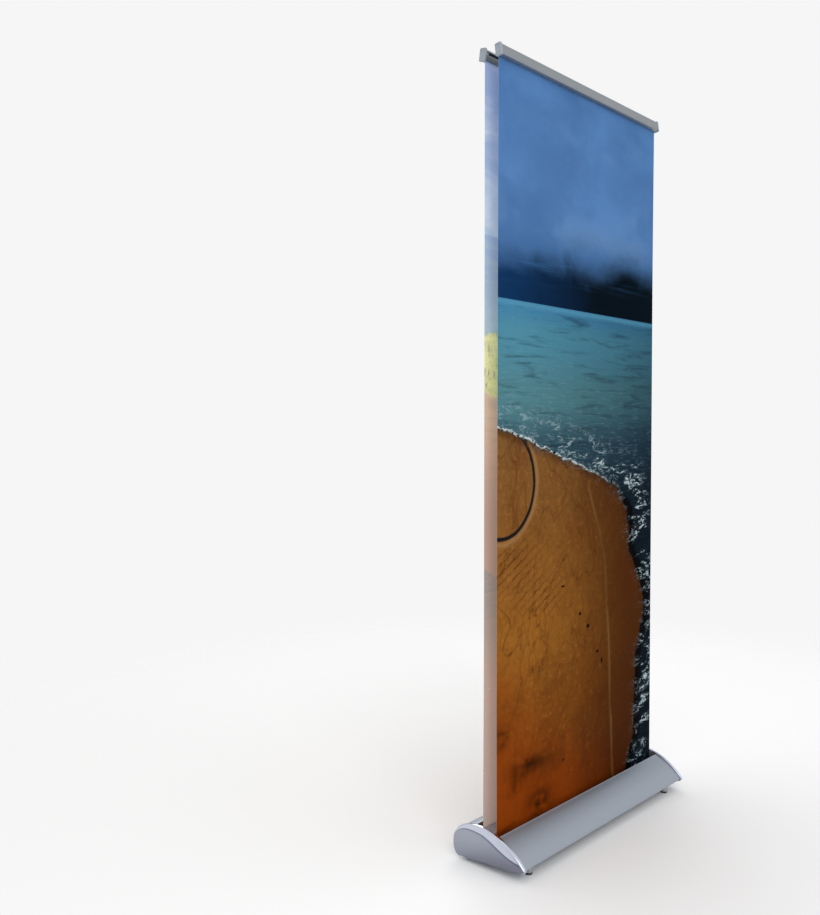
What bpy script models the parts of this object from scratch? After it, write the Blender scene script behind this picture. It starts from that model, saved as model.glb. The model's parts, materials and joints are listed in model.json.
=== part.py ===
"""Double-sided roll-up banner stand, deployed.

Frame: metres, +Z up, +X along the base, the front graphic faces -Y. The origin is on the floor, under
the middle of the base. A section is a list of (y, z) points in millimetres, and a prism carries it along X.
"""

import math

import bmesh
import bpy
from mathutils import Matrix, Vector

MM = 0.001

# Driving dimensions, in millimetres
GRAPHIC_WIDTH = 800.0
GRAPHIC_THICK = 0.4
BASE_LENGTH = 850.0
CAP_DEPTH = 15.0  # how far an end cap reaches along X
CAP_WALL = 3.0
SHELL_INSET = 3.5  # the extrusions lie this far inside the end caps' outline
SHELL_THICK = 2.0
FRONT_SHEET_Y = -11.5
SHEET_SPACING = 44.0
REAR_SHEET_Y = FRONT_SHEET_Y + SHEET_SPACING
POLE_Y = FRONT_SHEET_Y + SHEET_SPACING / 2
RAIL_Z = 2080.0  # mouth of a top rail
RAIL_TILT = math.radians(8)  # each rail's top leans in towards the pole
STAGE_TRAVEL = 620.0  # of each of the pole's two sliding sections
ROLLER_Z = 49.0
ROLLER_RADIUS = 16.0
LEADER_THICK = 0.5
CLEAR = 0.3

EXTRUSION_END = BASE_LENGTH / 2 - 14.0
PLATE_END = EXTRUSION_END + CLEAR
PLATE_THICK = 4.0
SPLIT_Z = 2 * STAGE_TRAVEL + ROLLER_Z + 11.0  # where the sheet that always stays out begins
FRONT_CREST_Y, REAR_CREST_Y = -27.5, 48.5
SIDES = {"left": -1, "right": 1}
SHEETS = {"front": (-1, FRONT_SHEET_Y), "rear": (1, REAR_SHEET_Y)}

FOOT_X, FOOT_Y = 360.0, 84.0
FOOT_PAD_HEIGHT = 4.0
FEET = {
    "front_left": (-FOOT_X, -FOOT_Y, 21.0),
    "front_right": (FOOT_X, -FOOT_Y, 21.0),
    "rear_left": (-FOOT_X, FOOT_Y, 10.5),
    "rear_right": (FOOT_X, FOOT_Y, 10.5),
}
BOSSES = {"front": -66.0, "rear": 72.0}  # y of the screw bosses on the tray
BOSS_SIZE = 8.0
SCREW_RADIUS = 1.6
HOLE_RADIUS = 1.9


# Materials: name, colour, roughness, metallic
FINISHES = {
    "anodised_aluminium": ((0.66, 0.69, 0.74), 0.36, 1.0),
    "chrome_plating": ((0.78, 0.79, 0.82), 0.14, 1.0),
    "zinc_steel": ((0.55, 0.56, 0.58), 0.38, 1.0),
    "grey_nylon": ((0.30, 0.31, 0.33), 0.55, 0.0),
    "rail_cap_plastic": ((0.46, 0.52, 0.57), 0.42, 0.0),
    "black_rubber": ((0.03, 0.03, 0.03), 0.80, 0.0),
    "printed_film": ((0.42, 0.36, 0.30), 0.50, 0.0),
    "leader_film": ((0.80, 0.80, 0.78), 0.55, 0.0),
}


def clear_scene():
    for old in list(bpy.data.objects):
        bpy.data.objects.remove(old)


def finish_material(name):
    """The Principled material of one finish, made once."""
    found = bpy.data.materials.get(name)
    if found:
        return found
    colour, roughness, metallic = FINISHES[name]
    made = bpy.data.materials.new(name)
    made.use_nodes = True
    shader = made.node_tree.nodes["Principled BSDF"]
    shader.inputs["Base Color"].default_value = (*colour, 1.0)
    shader.inputs["Roughness"].default_value = roughness
    shader.inputs["Metallic"].default_value = metallic
    return made


def add_object(name, shape, finish, origin=(0, 0, 0), sharp_angle=35):
    """Turns a bmesh drawn in millimetres into an object in metres whose origin is at origin."""
    bmesh.ops.recalc_face_normals(shape, faces=shape.faces)
    to_metres = Matrix.Scale(MM, 4) @ Matrix.Translation(-Vector(origin))
    bmesh.ops.transform(shape, matrix=to_metres, verts=shape.verts)
    mesh = bpy.data.meshes.new(name)
    shape.to_mesh(mesh)
    shape.free()
    mesh.shade_smooth()
    mesh.set_sharp_from_angle(angle=math.radians(sharp_angle))
    made = bpy.data.objects.new(name, mesh)
    made.location = Vector(origin) * MM
    if finish:
        mesh.materials.append(finish_material(finish))
    bpy.context.scene.collection.objects.link(made)
    return made


def add_cutter(name, shape):
    """An object that only cuts: hidden from the render and drawn as wires."""
    made = add_object(name, shape, None)
    made.hide_render = True
    made.display_type = "WIRE"
    return made


def boolean(target, other, operation):
    modifier = target.modifiers.new(other.name, "BOOLEAN")
    modifier.operation = operation
    modifier.object = other
    return target


# Sections and solids


def bezier(start, handle_a, handle_b, end, steps):
    """Points of a cubic curve, without its last one, so that curves can follow each other."""
    points = []
    for i in range(steps):
        t = i / steps
        u = 1 - t
        weights = (u**3, 3 * u * u * t, 3 * u * t * t, t**3)
        corners = (start, handle_a, handle_b, end)
        points.append(tuple(sum(w * c[k] for w, c in zip(weights, corners)) for k in (0, 1)))
    return points


def arc(centre, radius, from_deg, to_deg, steps):
    """Points on a circle, both ends included."""
    turns = [math.radians(from_deg + (to_deg - from_deg) * i / steps) for i in range(steps + 1)]
    return [(centre[0] + radius * math.cos(t), centre[1] + radius * math.sin(t)) for t in turns]


def base_outline():
    """The teardrop that the end caps follow, from the toe over the crown and back along the floor."""
    toe, crown, back = (-115.8, 37.0), (30.0, 107.3), (116.5, 46.0)
    heel, sole = (94.0, 9.5), (-103.0, 24.5)
    return (
        bezier(toe, (-81.0, 79.0), (-25.0, 107.3), crown, 16)
        + bezier(crown, (83.0, 107.3), (116.5, 85.0), back, 12)
        + bezier(back, (116.5, 24.0), (108.0, 8.6), heel, 8)
        + [heel]
        + bezier(sole, (-111.5, 25.2), (-119.0, 32.0), toe, 5)
    )


def offset_closed(outline, distance):
    """The outline moved inwards by distance; the outline runs clockwise in (y, z)."""
    moved = []
    count = len(outline)
    for i in range(count):
        before, here, after = (Vector(outline[(i + k) % count]) for k in (-1, 0, 1))
        normals = [Vector((d.y, -d.x)).normalized() for d in (here - before, after - here)]
        bisector = (normals[0] + normals[1]).normalized()
        moved.append(tuple(here + bisector * distance / max(0.5, bisector.dot(normals[0]))))
    return moved


def thick_path(path, thickness):
    """A closed strip section: path, and path again moved to its right by thickness."""
    inner = []
    for i, point in enumerate(path):
        here = Vector(point)
        steps = []
        if i > 0:
            steps.append((here - Vector(path[i - 1])).normalized())
        if i < len(path) - 1:
            steps.append((Vector(path[i + 1]) - here).normalized())
        normals = [Vector((d.y, -d.x)) for d in steps]
        bisector = sum(normals, Vector((0, 0))).normalized()
        inner.append(tuple(here + bisector * thickness / max(0.5, bisector.dot(normals[0]))))
    return path + inner[::-1]


def height_on(outline, y, upper=True):
    """z where the outline's upper or lower side crosses y."""
    found = []
    for (y0, z0), (y1, z1) in zip(outline, outline[1:] + outline[:1]):
        if min(y0, y1) <= y < max(y0, y1):
            found.append(z0 + (z1 - z0) * (y - y0) / (y1 - y0))
    return max(found) if upper else min(found)


def add_loops(shape, loops):
    """Closed rings of equal length, joined in turn, with both ends filled."""
    rings = [[shape.verts.new(p) for p in loop] for loop in loops]
    count = len(rings[0])
    for low, high in zip(rings, rings[1:]):
        for i in range(count):
            j = (i + 1) % count
            shape.faces.new((low[i], low[j], high[j], high[i]))
    shape.faces.new(rings[0][::-1])
    shape.faces.new(rings[-1])


def add_prism(shape, section, x0, x1):
    add_loops(shape, [[(x, y, z) for y, z in section] for x in (x0, x1)])


def prism(name, section, x0, x1, finish, origin=(0, 0, 0)):
    shape = bmesh.new()
    add_prism(shape, section, x0, x1)
    return add_object(name, shape, finish, origin)


def add_box(shape, low, high):
    section = [(low[1], low[2]), (high[1], low[2]), (high[1], high[2]), (low[1], high[2])]
    add_prism(shape, section, low[0], high[0])


def add_turned(shape, profile, origin, axis, sides=24, closed=False):
    """Turns (radius, along) points about a line through origin along axis, "X" or "Z". A closed
    profile makes a ring; an open one starts and ends at radius 0."""
    place = Matrix.Translation(origin)
    if axis == "X":
        place = place @ Matrix.Rotation(math.pi / 2, 4, "Y")
    rings = []
    for radius, along in profile:
        if radius == 0:
            rings.append([shape.verts.new(place @ Vector((0, 0, along)))])
            continue
        angles = [2 * math.pi * i / sides for i in range(sides)]
        spots = [(radius * math.cos(a), radius * math.sin(a), along) for a in angles]
        rings.append([shape.verts.new(place @ Vector(s)) for s in spots])
    pairs = list(zip(rings, rings[1:]))
    if closed:
        pairs.append((rings[-1], rings[0]))
    for low, high in pairs:
        for i in range(sides):
            j = (i + 1) % sides
            if len(low) == 1:
                shape.faces.new((low[0], high[j], high[i]))
            elif len(high) == 1:
                shape.faces.new((low[i], low[j], high[0]))
            else:
                shape.faces.new((low[i], low[j], high[j], high[i]))


def turned(name, profile, origin, axis, finish, sides=24, closed=False):
    shape = bmesh.new()
    add_turned(shape, profile, origin, axis, sides, closed)
    return add_object(name, shape, finish, origin)


def ring_profile(outer, inner, low, high):
    return [(inner, low), (outer, low), (outer, high), (inner, high)]


def rod_profile(radius, low, high):
    return [(0, low), (radius, low), (radius, high), (0, high)]


# The base


OUTLINE = base_outline()
SHELL = offset_closed(OUTLINE, SHELL_INSET)


def build_front_cover():
    """The long sloping front panel: under the toe, over the slope, and down into the front slot."""
    crest_z = height_on(SHELL, FRONT_CREST_Y)
    toe_side = [p for p in SHELL if p[0] < -98.0 and p[1] < 35.0]
    slope = [p for p in SHELL if p[0] < FRONT_CREST_Y - 1 and p[1] >= 35.0]
    under = [(-94.0, height_on(SHELL, -94.0, upper=False))]
    path = under + sorted(toe_side, key=lambda p: p[1]) + sorted(slope)
    path += [(FRONT_CREST_Y, crest_z), (FRONT_CREST_Y + 0.8, crest_z - 14.0)]
    section = thick_path(path, SHELL_THICK)
    return prism("front_cover", section, -EXTRUSION_END, EXTRUSION_END, "anodised_aluminium")


def build_rear_shell():
    """The round back of the base, from the rear slot over the bulge and under the heel."""
    crest_z = height_on(SHELL, REAR_CREST_Y)
    back = [p for p in SHELL if p[0] > REAR_CREST_Y + 1 and (p[1] > 20.0 or p[0] > 95.0)]
    path = [(REAR_CREST_Y - 0.8, crest_z - 14.0), (REAR_CREST_Y, crest_z)] + back
    path += [(94.0, height_on(SHELL, 94.0, upper=False))]
    section = thick_path(path, SHELL_THICK)
    return prism("rear_shell", section, -EXTRUSION_END, EXTRUSION_END, "anodised_aluminium")


TRAY_Y = (-93.5, 93.5)
TRAY_THICK = 2.5
WEB_YS = ((-5.5, -3.5), (24.5, 26.5))
WEB_TOP = 95.0


def tray_floor(y):
    """z of the tray's upper side at y."""
    return height_on(SHELL, y, upper=False) + TRAY_THICK


def build_tray():
    """The bottom plate, with four screw bosses and the two webs that hold the bridge and the pole."""
    bumps = [(y - BOSS_SIZE / 2, y + BOSS_SIZE / 2, tray_floor(y) + BOSS_SIZE) for y in BOSSES.values()]
    bumps += [(low, high, WEB_TOP) for low, high in WEB_YS]
    section = [(y, height_on(SHELL, y, upper=False)) for y in TRAY_Y]
    section += [(TRAY_Y[1], tray_floor(TRAY_Y[1]))]
    for low, high, top in sorted(bumps, reverse=True):
        section += [(high, tray_floor(high)), (high, top), (low, top), (low, tray_floor(low))]
    section += [(TRAY_Y[0], tray_floor(TRAY_Y[0]))]
    tray = prism("base_tray", section, -EXTRUSION_END, EXTRUSION_END, "anodised_aluminium")
    holes = bmesh.new()
    for side in SIDES.values():
        for y in BOSSES.values():
            centre = (side * (EXTRUSION_END - 7.0), y, tray_floor(y) + BOSS_SIZE / 2)
            add_turned(holes, rod_profile(HOLE_RADIUS, -9.0, 9.0), centre, "X", 12)
    for x, y, _ in FEET.values():
        add_turned(holes, rod_profile(4.8, -8.0, 8.0), (x, y, tray_floor(y)), "Z", 16)
    for x in SOCKET_SCREWS.values():
        add_turned(holes, rod_profile(2.0, -6.0, 6.0), (x, POLE_Y, tray_floor(POLE_Y)), "Z", 12)
    return boolean(tray, add_cutter("tray_holes", holes), "DIFFERENCE")


BRIDGE_Z = (95.6, 98.0)
BRIDGE_Y = (-8.5, 29.5)
SOCKET_SCREWS = {"left": -15.0, "right": 15.0}
SOCKET_Z = (23.8, 94.0)
POLE_FOOT_Z = 30.0


def build_bridge():
    """The strip between the two slots, which sits on the webs and lets the pole through."""
    (low_y, high_y), (low_z, high_z) = BRIDGE_Y, BRIDGE_Z
    leg, leg_z = 2.0, low_z - 12.0
    section = [
        (low_y, leg_z), (low_y, high_z), (high_y, high_z), (high_y, leg_z),
        (high_y - leg, leg_z), (high_y - leg, low_z), (low_y + leg, low_z), (low_y + leg, leg_z),
    ]
    bridge = prism("slot_bridge", section, -EXTRUSION_END, EXTRUSION_END, "anodised_aluminium")
    hole = bmesh.new()
    add_turned(hole, rod_profile(10.4, -6.0, 6.0), (0, POLE_Y, high_z), "Z", 32)
    return boolean(bridge, add_cutter("bridge_hole", hole), "DIFFERENCE")


def build_socket():
    """The moulded block between the webs that the pole stands in, and its two screws."""
    block = bmesh.new()
    add_box(block, (-22.0, WEB_YS[0][1] + CLEAR, SOCKET_Z[0]), (22.0, WEB_YS[1][0] - CLEAR, SOCKET_Z[1]))
    socket = add_object("pole_socket", block, "grey_nylon")
    bores = bmesh.new()
    add_turned(bores, rod_profile(9.9, 0.0, 80.0), (0, POLE_Y, POLE_FOOT_Z - CLEAR), "Z", 24)
    for x in SOCKET_SCREWS.values():
        add_turned(bores, rod_profile(HOLE_RADIUS, -10.0, 12.0), (x, POLE_Y, SOCKET_Z[0]), "Z", 12)
    boolean(socket, add_cutter("socket_bores", bores), "DIFFERENCE")
    head_z = tray_floor(POLE_Y) - TRAY_THICK - CLEAR
    for name, x in SOCKET_SCREWS.items():
        profile = [(0, head_z - 2.2), (3.4, head_z - 2.2), (3.6, head_z), (SCREW_RADIUS, head_z)]
        profile += [(SCREW_RADIUS, 34.0), (0, 34.8)]
        turned(f"socket_screw_{name}", profile, (x, POLE_Y, 0), "Z", "zinc_steel", 12)


def roller_y(sheet):
    """The roller's axis stands off its sheet by the wound radius, on the side away from the pole."""
    outward, sheet_y = SHEETS[sheet]
    return sheet_y + outward * (ROLLER_RADIUS + CLEAR + LEADER_THICK + CLEAR + GRAPHIC_THICK / 2)


SHAFT_RADIUS = 4.0
BUSH_RADIUS = 7.0


def build_end_plate(name, side):
    """The inner plate that closes the extrusions and carries both rollers, with its four screws."""
    inner, outer = sorted((side * PLATE_END, side * (PLATE_END + PLATE_THICK)))
    plate = prism(f"{name}_end_plate", offset_closed(OUTLINE, 4.0), inner, outer, "grey_nylon")
    middle = (inner + outer) / 2
    holes = bmesh.new()
    bearing = BUSH_RADIUS + CLEAR if side < 0 else SHAFT_RADIUS + CLEAR
    for sheet in SHEETS:
        add_turned(holes, rod_profile(bearing, -6.0, 6.0), (middle, roller_y(sheet), ROLLER_Z), "X", 24)
    for y in BOSSES.values():
        centre = (middle, y, tray_floor(y) + BOSS_SIZE / 2)
        add_turned(holes, rod_profile(HOLE_RADIUS, -6.0, 6.0), centre, "X", 12)
    boolean(plate, add_cutter(f"{name}_plate_holes", holes), "DIFFERENCE")
    for place, y in BOSSES.items():
        outside = PLATE_END + PLATE_THICK + CLEAR
        profile = [(0, outside + 2.2), (3.2, outside + 2.0), (3.4, outside), (SCREW_RADIUS, outside)]
        profile += [(SCREW_RADIUS, outside - 16.0), (0, outside - 17.0)]
        profile = [(r, side * along) for r, along in profile]
        centre = (0, y, tray_floor(y) + BOSS_SIZE / 2)
        turned(f"{name}_plate_screw_{place}", profile, centre, "X", "zinc_steel", 12)


PANEL_RELIEF = 2.5


def comma_panel():
    """The raised lower panel of an end cap: an S-shaped upper edge, then the outline set in."""
    edge = offset_closed(OUTLINE, 1.6)
    rear = (107.5, 71.0)
    shoulder = (20.0, 84.5)
    toe = (-107.0, 40.5)
    upper = bezier(rear, (92.0, 90.0), (52.0, 91.5), shoulder, 9)
    upper += bezier(shoulder, (-22.0, 73.0), (-28.0, 55.0), toe, 12) + [toe]
    lower = [p for p in edge if p[1] < 38.0 or (p[0] > 100.0 and p[1] < 66.0)]
    toe_part = sorted((p for p in lower if p[0] < -95.0), key=lambda p: -p[1])
    heel_part = sorted((p for p in lower if p[0] > 60.0), key=lambda p: p[1] if p[0] > 95.0 else -1.0)
    return upper + toe_part + heel_part


def build_end_cap(name, side):
    """The plated outer cap: a shallow bowl over the end plate, proud of the extrusions all round."""
    half = BASE_LENGTH / 2
    loops = [
        (half - CAP_DEPTH - PANEL_RELIEF + 5.0, CAP_WALL),
        (half - CAP_DEPTH - PANEL_RELIEF + 5.0, 0.6),
        (half - CAP_DEPTH - PANEL_RELIEF + 5.6, 0.0),
        (half - PANEL_RELIEF - 2.6, 0.0),
        (half - PANEL_RELIEF - 0.8, 0.8),
        (half - PANEL_RELIEF, 2.6),
        (half - PANEL_RELIEF, 4.2),
    ]
    shape = bmesh.new()
    rings = [[(side * x, y, z) for y, z in offset_closed(OUTLINE, inset)] for x, inset in loops]
    floor_x = half - PANEL_RELIEF - 3.0
    rings.insert(0, [(side * floor_x, y, z) for y, z in offset_closed(OUTLINE, CAP_WALL)])
    add_loops(shape, rings)
    cap = add_object(f"{name}_end_cap", shape, "chrome_plating")
    panel = bmesh.new()
    low, high = sorted((side * (half - PANEL_RELIEF - 1.0), side * half))
    add_prism(panel, comma_panel(), low, high)
    return boolean(cap, add_cutter(f"{name}_cap_panel", panel), "UNION")


# Rollers


SHAFT_INNER_X = 84.0
TUBE_END = 402.0
SPRING_TURNS = 12
SPRING_X = (104.0, 376.0)


def add_spring(shape, centre, coil_radius, wire_radius, turns, x0, x1, steps=8, sides=4):
    """A torsion spring: a round wire wound about a line along X."""
    rings = []
    total = turns * steps
    for i in range(total + 1):
        a = 2 * math.pi * i / steps
        x = x0 + (x1 - x0) * i / total
        radial = Vector((0, math.cos(a), math.sin(a)))
        along = Vector((1, 0, 0))
        middle = Vector(centre) + radial * coil_radius + along * x
        ring = []
        for k in range(sides):
            b = 2 * math.pi * k / sides
            ring.append(tuple(middle + (radial * math.cos(b) + along * math.sin(b)) * wire_radius))
        rings.append(ring)
    add_loops(shape, rings)


def build_roller(sheet):
    """A spring roller: tube, idle plug on the left, spring, shaft and spring plug on the right."""
    axis = (0, roller_y(sheet), ROLLER_Z)
    bore = ROLLER_RADIUS - 1.4
    plug = bore - CLEAR
    turned(f"{sheet}_roller_tube", ring_profile(ROLLER_RADIUS, bore, -TUBE_END, TUBE_END), axis, "X",
           "anodised_aluminium", 32, closed=True)
    leader = ring_profile(ROLLER_RADIUS + CLEAR + LEADER_THICK, ROLLER_RADIUS + CLEAR, -396.0, 396.0)
    turned(f"{sheet}_leader", leader, axis, "X", "leader_film", 32, closed=True)
    flange = TUBE_END + CLEAR
    idle = [(0, -382.0), (plug, -382.0), (plug, -flange), (ROLLER_RADIUS - 0.4, -flange)]
    idle += [(ROLLER_RADIUS - 0.4, -flange - 2.4), (SHAFT_RADIUS, -flange - 2.4)]
    idle += [(SHAFT_RADIUS, -418.0), (0, -418.0)]
    turned(f"{sheet}_idle_plug", idle, axis, "X", "grey_nylon", 24)
    running = SHAFT_RADIUS + 0.5
    drive = [(running, 382.0), (plug, 382.0), (plug, flange), (ROLLER_RADIUS - 0.4, flange)]
    drive += [(ROLLER_RADIUS - 0.4, flange + 2.4), (running, flange + 2.4)]
    turned(f"{sheet}_spring_plug", drive, axis, "X", "grey_nylon", 24, closed=True)
    anchor = ring_profile(plug, running, 86.0, 102.0)
    turned(f"{sheet}_spring_anchor", anchor, axis, "X", "grey_nylon", 24, closed=True)
    shaft = [(0, SHAFT_INNER_X), (SHAFT_RADIUS - 0.6, SHAFT_INNER_X), (SHAFT_RADIUS, SHAFT_INNER_X + 0.8)]
    shaft += [(SHAFT_RADIUS, 417.4), (0, 417.4)]
    turned(f"{sheet}_spring_shaft", shaft, axis, "X", "zinc_steel", 16)
    bush_outer = -(PLATE_END + PLATE_THICK)
    bush = ring_profile(BUSH_RADIUS, SHAFT_RADIUS + 0.5, bush_outer - 1.4, -PLATE_END + 1.6)
    turned(f"{sheet}_idle_bush", bush, axis, "X", "leader_film", 24, closed=True)
    coil = bmesh.new()
    add_spring(coil, axis, 9.5, 0.9, SPRING_TURNS, *SPRING_X)
    add_object(f"{sheet}_torsion_spring", coil, "zinc_steel", axis, sharp_angle=80)


# The pole


HEAD_Z = (2052.0, 2097.0)
POLE_AXIS = (0, POLE_Y, 0)
LOWER_LOCK_Z, UPPER_LOCK_Z, LOCK_HEIGHT = 720.0, 1385.0, 40.0


def build_lock(name, low, outer_tube, inner_tube):
    """A twist lock: a lobed collar with a stepped bore, over the end of one tube and round the next."""
    step_z = low + 22.6
    profile = [(outer_tube + 0.5, low), (12.6, low), (14.0, low + 2.0), (14.0, low + LOCK_HEIGHT - 6.0)]
    profile += [(11.5, low + LOCK_HEIGHT), (inner_tube + 0.5, low + LOCK_HEIGHT)]
    profile += [(inner_tube + 0.5, step_z), (outer_tube + 0.5, step_z)]
    lock = turned(name, profile, POLE_AXIS, "Z", "grey_nylon", 24, closed=True)
    flutes = bmesh.new()
    for i in range(8):
        a = 2 * math.pi * (i + 0.5) / 8
        spot = (15.6 * math.cos(a), POLE_Y + 15.6 * math.sin(a), low + LOCK_HEIGHT / 2 - 2.0)
        add_turned(flutes, rod_profile(2.6, -14.0, 14.0), spot, "Z", 8)
    return boolean(lock, add_cutter(f"{name}_flutes", flutes), "DIFFERENCE")


def build_pole():
    """Three telescopic tubes, with a guide plug in the foot of each sliding one."""
    lower, middle, top = (9.5, 8.7), (8.4, 7.6), (7.3, 6.5)
    middle_foot = POLE_FOOT_Z + 5.0 + STAGE_TRAVEL
    top_foot = middle_foot + 33.0 + STAGE_TRAVEL
    plug = 8.0
    lower_tube = ring_profile(*lower, POLE_FOOT_Z, LOWER_LOCK_Z + 22.0)
    turned("pole_lower_tube", lower_tube, POLE_AXIS, "Z", "anodised_aluminium", closed=True)
    middle_tube = ring_profile(*middle, middle_foot + plug + CLEAR, UPPER_LOCK_Z + 22.0)
    turned("pole_middle_tube", middle_tube, POLE_AXIS, "Z", "anodised_aluminium", closed=True)
    top_tube = ring_profile(*top, top_foot + plug + CLEAR, HEAD_Z[0] + 27.0)
    turned("pole_top_tube", top_tube, POLE_AXIS, "Z", "anodised_aluminium", closed=True)
    for name, foot, (outer, inner) in (("middle", middle_foot, middle), ("top", top_foot, top)):
        profile = [(0, foot), (outer - 0.6, foot), (outer + 0.06, foot + 1.0), (outer + 0.06, foot + plug)]
        profile += [(inner - CLEAR, foot + plug), (inner - CLEAR, foot + plug + 18.0), (0, foot + plug + 18.0)]
        turned(f"pole_{name}_guide", profile, POLE_AXIS, "Z", "grey_nylon")
    build_lock("lower_lock_collar", LOWER_LOCK_Z, lower[0], middle[0])
    build_lock("upper_lock_collar", UPPER_LOCK_Z, middle[0], top[0])


def rail_point(sheet, outward, height):
    """(y, z) of a point in a rail's own section: outward from its sheet and up from its mouth."""
    way, sheet_y = SHEETS[sheet]
    lean_cos, lean_sin = math.cos(RAIL_TILT), math.sin(RAIL_TILT)
    return (
        sheet_y + way * (outward * lean_cos - height * lean_sin),
        RAIL_Z + height * lean_cos + outward * lean_sin,
    )


def rail_section(sheet, points):
    return [rail_point(sheet, *p) for p in points]


def build_head():
    """The pole's head: a block on the top tube with a hook into each rail's channel."""
    block = bmesh.new()
    add_box(block, (-16.0, POLE_Y - 12.0, HEAD_Z[0]), (16.0, POLE_Y + 12.0, HEAD_Z[1]))
    bmesh.ops.bevel(block, geom=block.edges[:], offset=1.5, segments=1, affect="EDGES")
    head = add_object("pole_head", block, "grey_nylon", (0, POLE_Y, HEAD_Z[0]))
    hook = [(-12.5, 17.0), (2.8, 17.0), (2.8, 25.0), (0.2, 25.0), (0.2, 22.7), (-12.5, 22.7)]
    for sheet in SHEETS:
        shape = bmesh.new()
        add_prism(shape, rail_section(sheet, hook), -10.0, 10.0)
        boolean(head, add_cutter(f"{sheet}_head_hook", shape), "UNION")
    bore = bmesh.new()
    add_turned(bore, rod_profile(7.7, -10.0, 28.0), (0, POLE_Y, HEAD_Z[0]), "Z")
    boolean(head, add_cutter("head_bore", bore), "DIFFERENCE")


# The top rails


BEAD = (10.0, 25.2)
RAIL_END = GRAPHIC_WIDTH / 2
RAIL_CAP_WIDTH = 7.0
GRIP_DEPTH = 9.0  # how far a rail grips its sheet


def build_rail(sheet):
    """A snap rail: the body with the pole's channel, the jaw that turns on its bead, and two caps."""
    body = [(-3, 0), (-0.6, 0), (-0.6, 13.2), (6.0, 13.2), (6.0, 24.0)]
    body += arc(BEAD, 2.0, 205, 510, 10)
    body += [(7.0, 27.4), (-3, 27.4), (-3, 23), (-1, 23), (-1, 25.4), (4.2, 25.4), (4.2, 15)]
    body += [(-1, 15), (-1, 16), (-3, 16)]
    prism(f"{sheet}_rail_body", rail_section(sheet, body), -RAIL_END, RAIL_END, "anodised_aluminium")
    jaw = arc(BEAD, 4.0, 80, 0, 4)
    jaw += [(14.0, 1.2), (13.2, 0.2), (0.6, 0.2), (0.6, 2.6), (2.2, 2.6), (2.2, 2.0), (12.2, 2.0)]
    jaw += arc(BEAD, 4.0, -57, -115, 3) + arc(BEAD, 2.35, -115, 80, 8)
    pivot = (0, *rail_point(sheet, *BEAD))
    prism(f"{sheet}_rail_jaw", rail_section(sheet, jaw), -RAIL_END, RAIL_END, "anodised_aluminium", pivot)
    corner = 3.0
    cap = []
    for centre, start in (((12.0, 28.2), 0), ((-1.0, 28.2), 90), ((-1.0, 1.2), 180), ((12.0, 1.2), 270)):
        cap += arc(centre, corner, start, start + 90, 3)
    tongue = [(-0.6, 15.4), (3.8, 15.4), (3.8, 25.0), (-0.6, 25.0)]
    for name, side in SIDES.items():
        inner = RAIL_END + 0.4
        low, high = sorted((side * inner, side * (inner + RAIL_CAP_WIDTH)))
        made = prism(f"{sheet}_rail_cap_{name}", rail_section(sheet, cap), low, high, "rail_cap_plastic")
        shape = bmesh.new()
        low, high = sorted((side * (inner - 12.0), side * (inner + 1.0)))
        add_prism(shape, rail_section(sheet, tongue), low, high)
        boolean(made, add_cutter(f"{sheet}_cap_tongue_{name}", shape), "UNION")


def build_graphics():
    """Each printed sheet in two solids: the part that is wound in as the pole is lowered, and the rest."""
    half = GRAPHIC_WIDTH / 2
    for sheet, (_, y) in SHEETS.items():
        thick = GRAPHIC_THICK / 2
        lower = [(y, ROLLER_Z), (y, SPLIT_Z - CLEAR)]
        upper = [(y, SPLIT_Z), rail_point(sheet, 0, 0), rail_point(sheet, 0, GRIP_DEPTH)]
        for name, path in (("lower", lower), ("upper", upper)):
            section = [(y - thick, z) for y, z in path] + [(y + thick, z) for y, z in path[::-1]]
            prism(f"{sheet}_graphic_{name}", section, -half, half, "printed_film")


# The feet


def build_feet():
    """Four levelling feet: a rubber pad, and a screw that turns in the pad and in the tray."""
    for name, (x, y, collar_top) in FEET.items():
        pad = [(0, 0), (9.6, 0), (10.4, 1.0), (10.4, FOOT_PAD_HEIGHT), (0, FOOT_PAD_HEIGHT)]
        turned(f"foot_pad_{name}", pad, (x, y, 0), "Z", "black_rubber")
        collar = FOOT_PAD_HEIGHT + CLEAR
        stud_top = tray_floor(y) + 14.0
        screw = [(0, collar), (9.4, collar), (10.0, collar + 0.8), (10.0, collar_top - 0.8), (9.2, collar_top)]
        screw += [(4.0, collar_top), (4.0, stud_top - 0.8), (3.4, stud_top), (0, stud_top)]
        turned(f"foot_screw_{name}", screw, (x, y, 0), "Z", "zinc_steel")


clear_scene()
build_front_cover()
build_rear_shell()
build_tray()
build_bridge()
build_socket()
for side_name, side_sign in SIDES.items():
    build_end_plate(side_name, side_sign)
    build_end_cap(side_name, side_sign)
for sheet_name in SHEETS:
    build_roller(sheet_name)
    build_rail(sheet_name)
build_pole()
build_head()
build_graphics()
build_feet()
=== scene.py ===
# %% [markdown]
# # A double-sided roll-up banner stand
#
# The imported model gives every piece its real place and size. This script gives the pieces their finish: it builds
# finer meshes for what shows, writes a procedural material for each finish, and sets up a plain studio.
# All lengths are metres, +Z is up, and the front printed sheet faces -Y.

import json
import math

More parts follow.
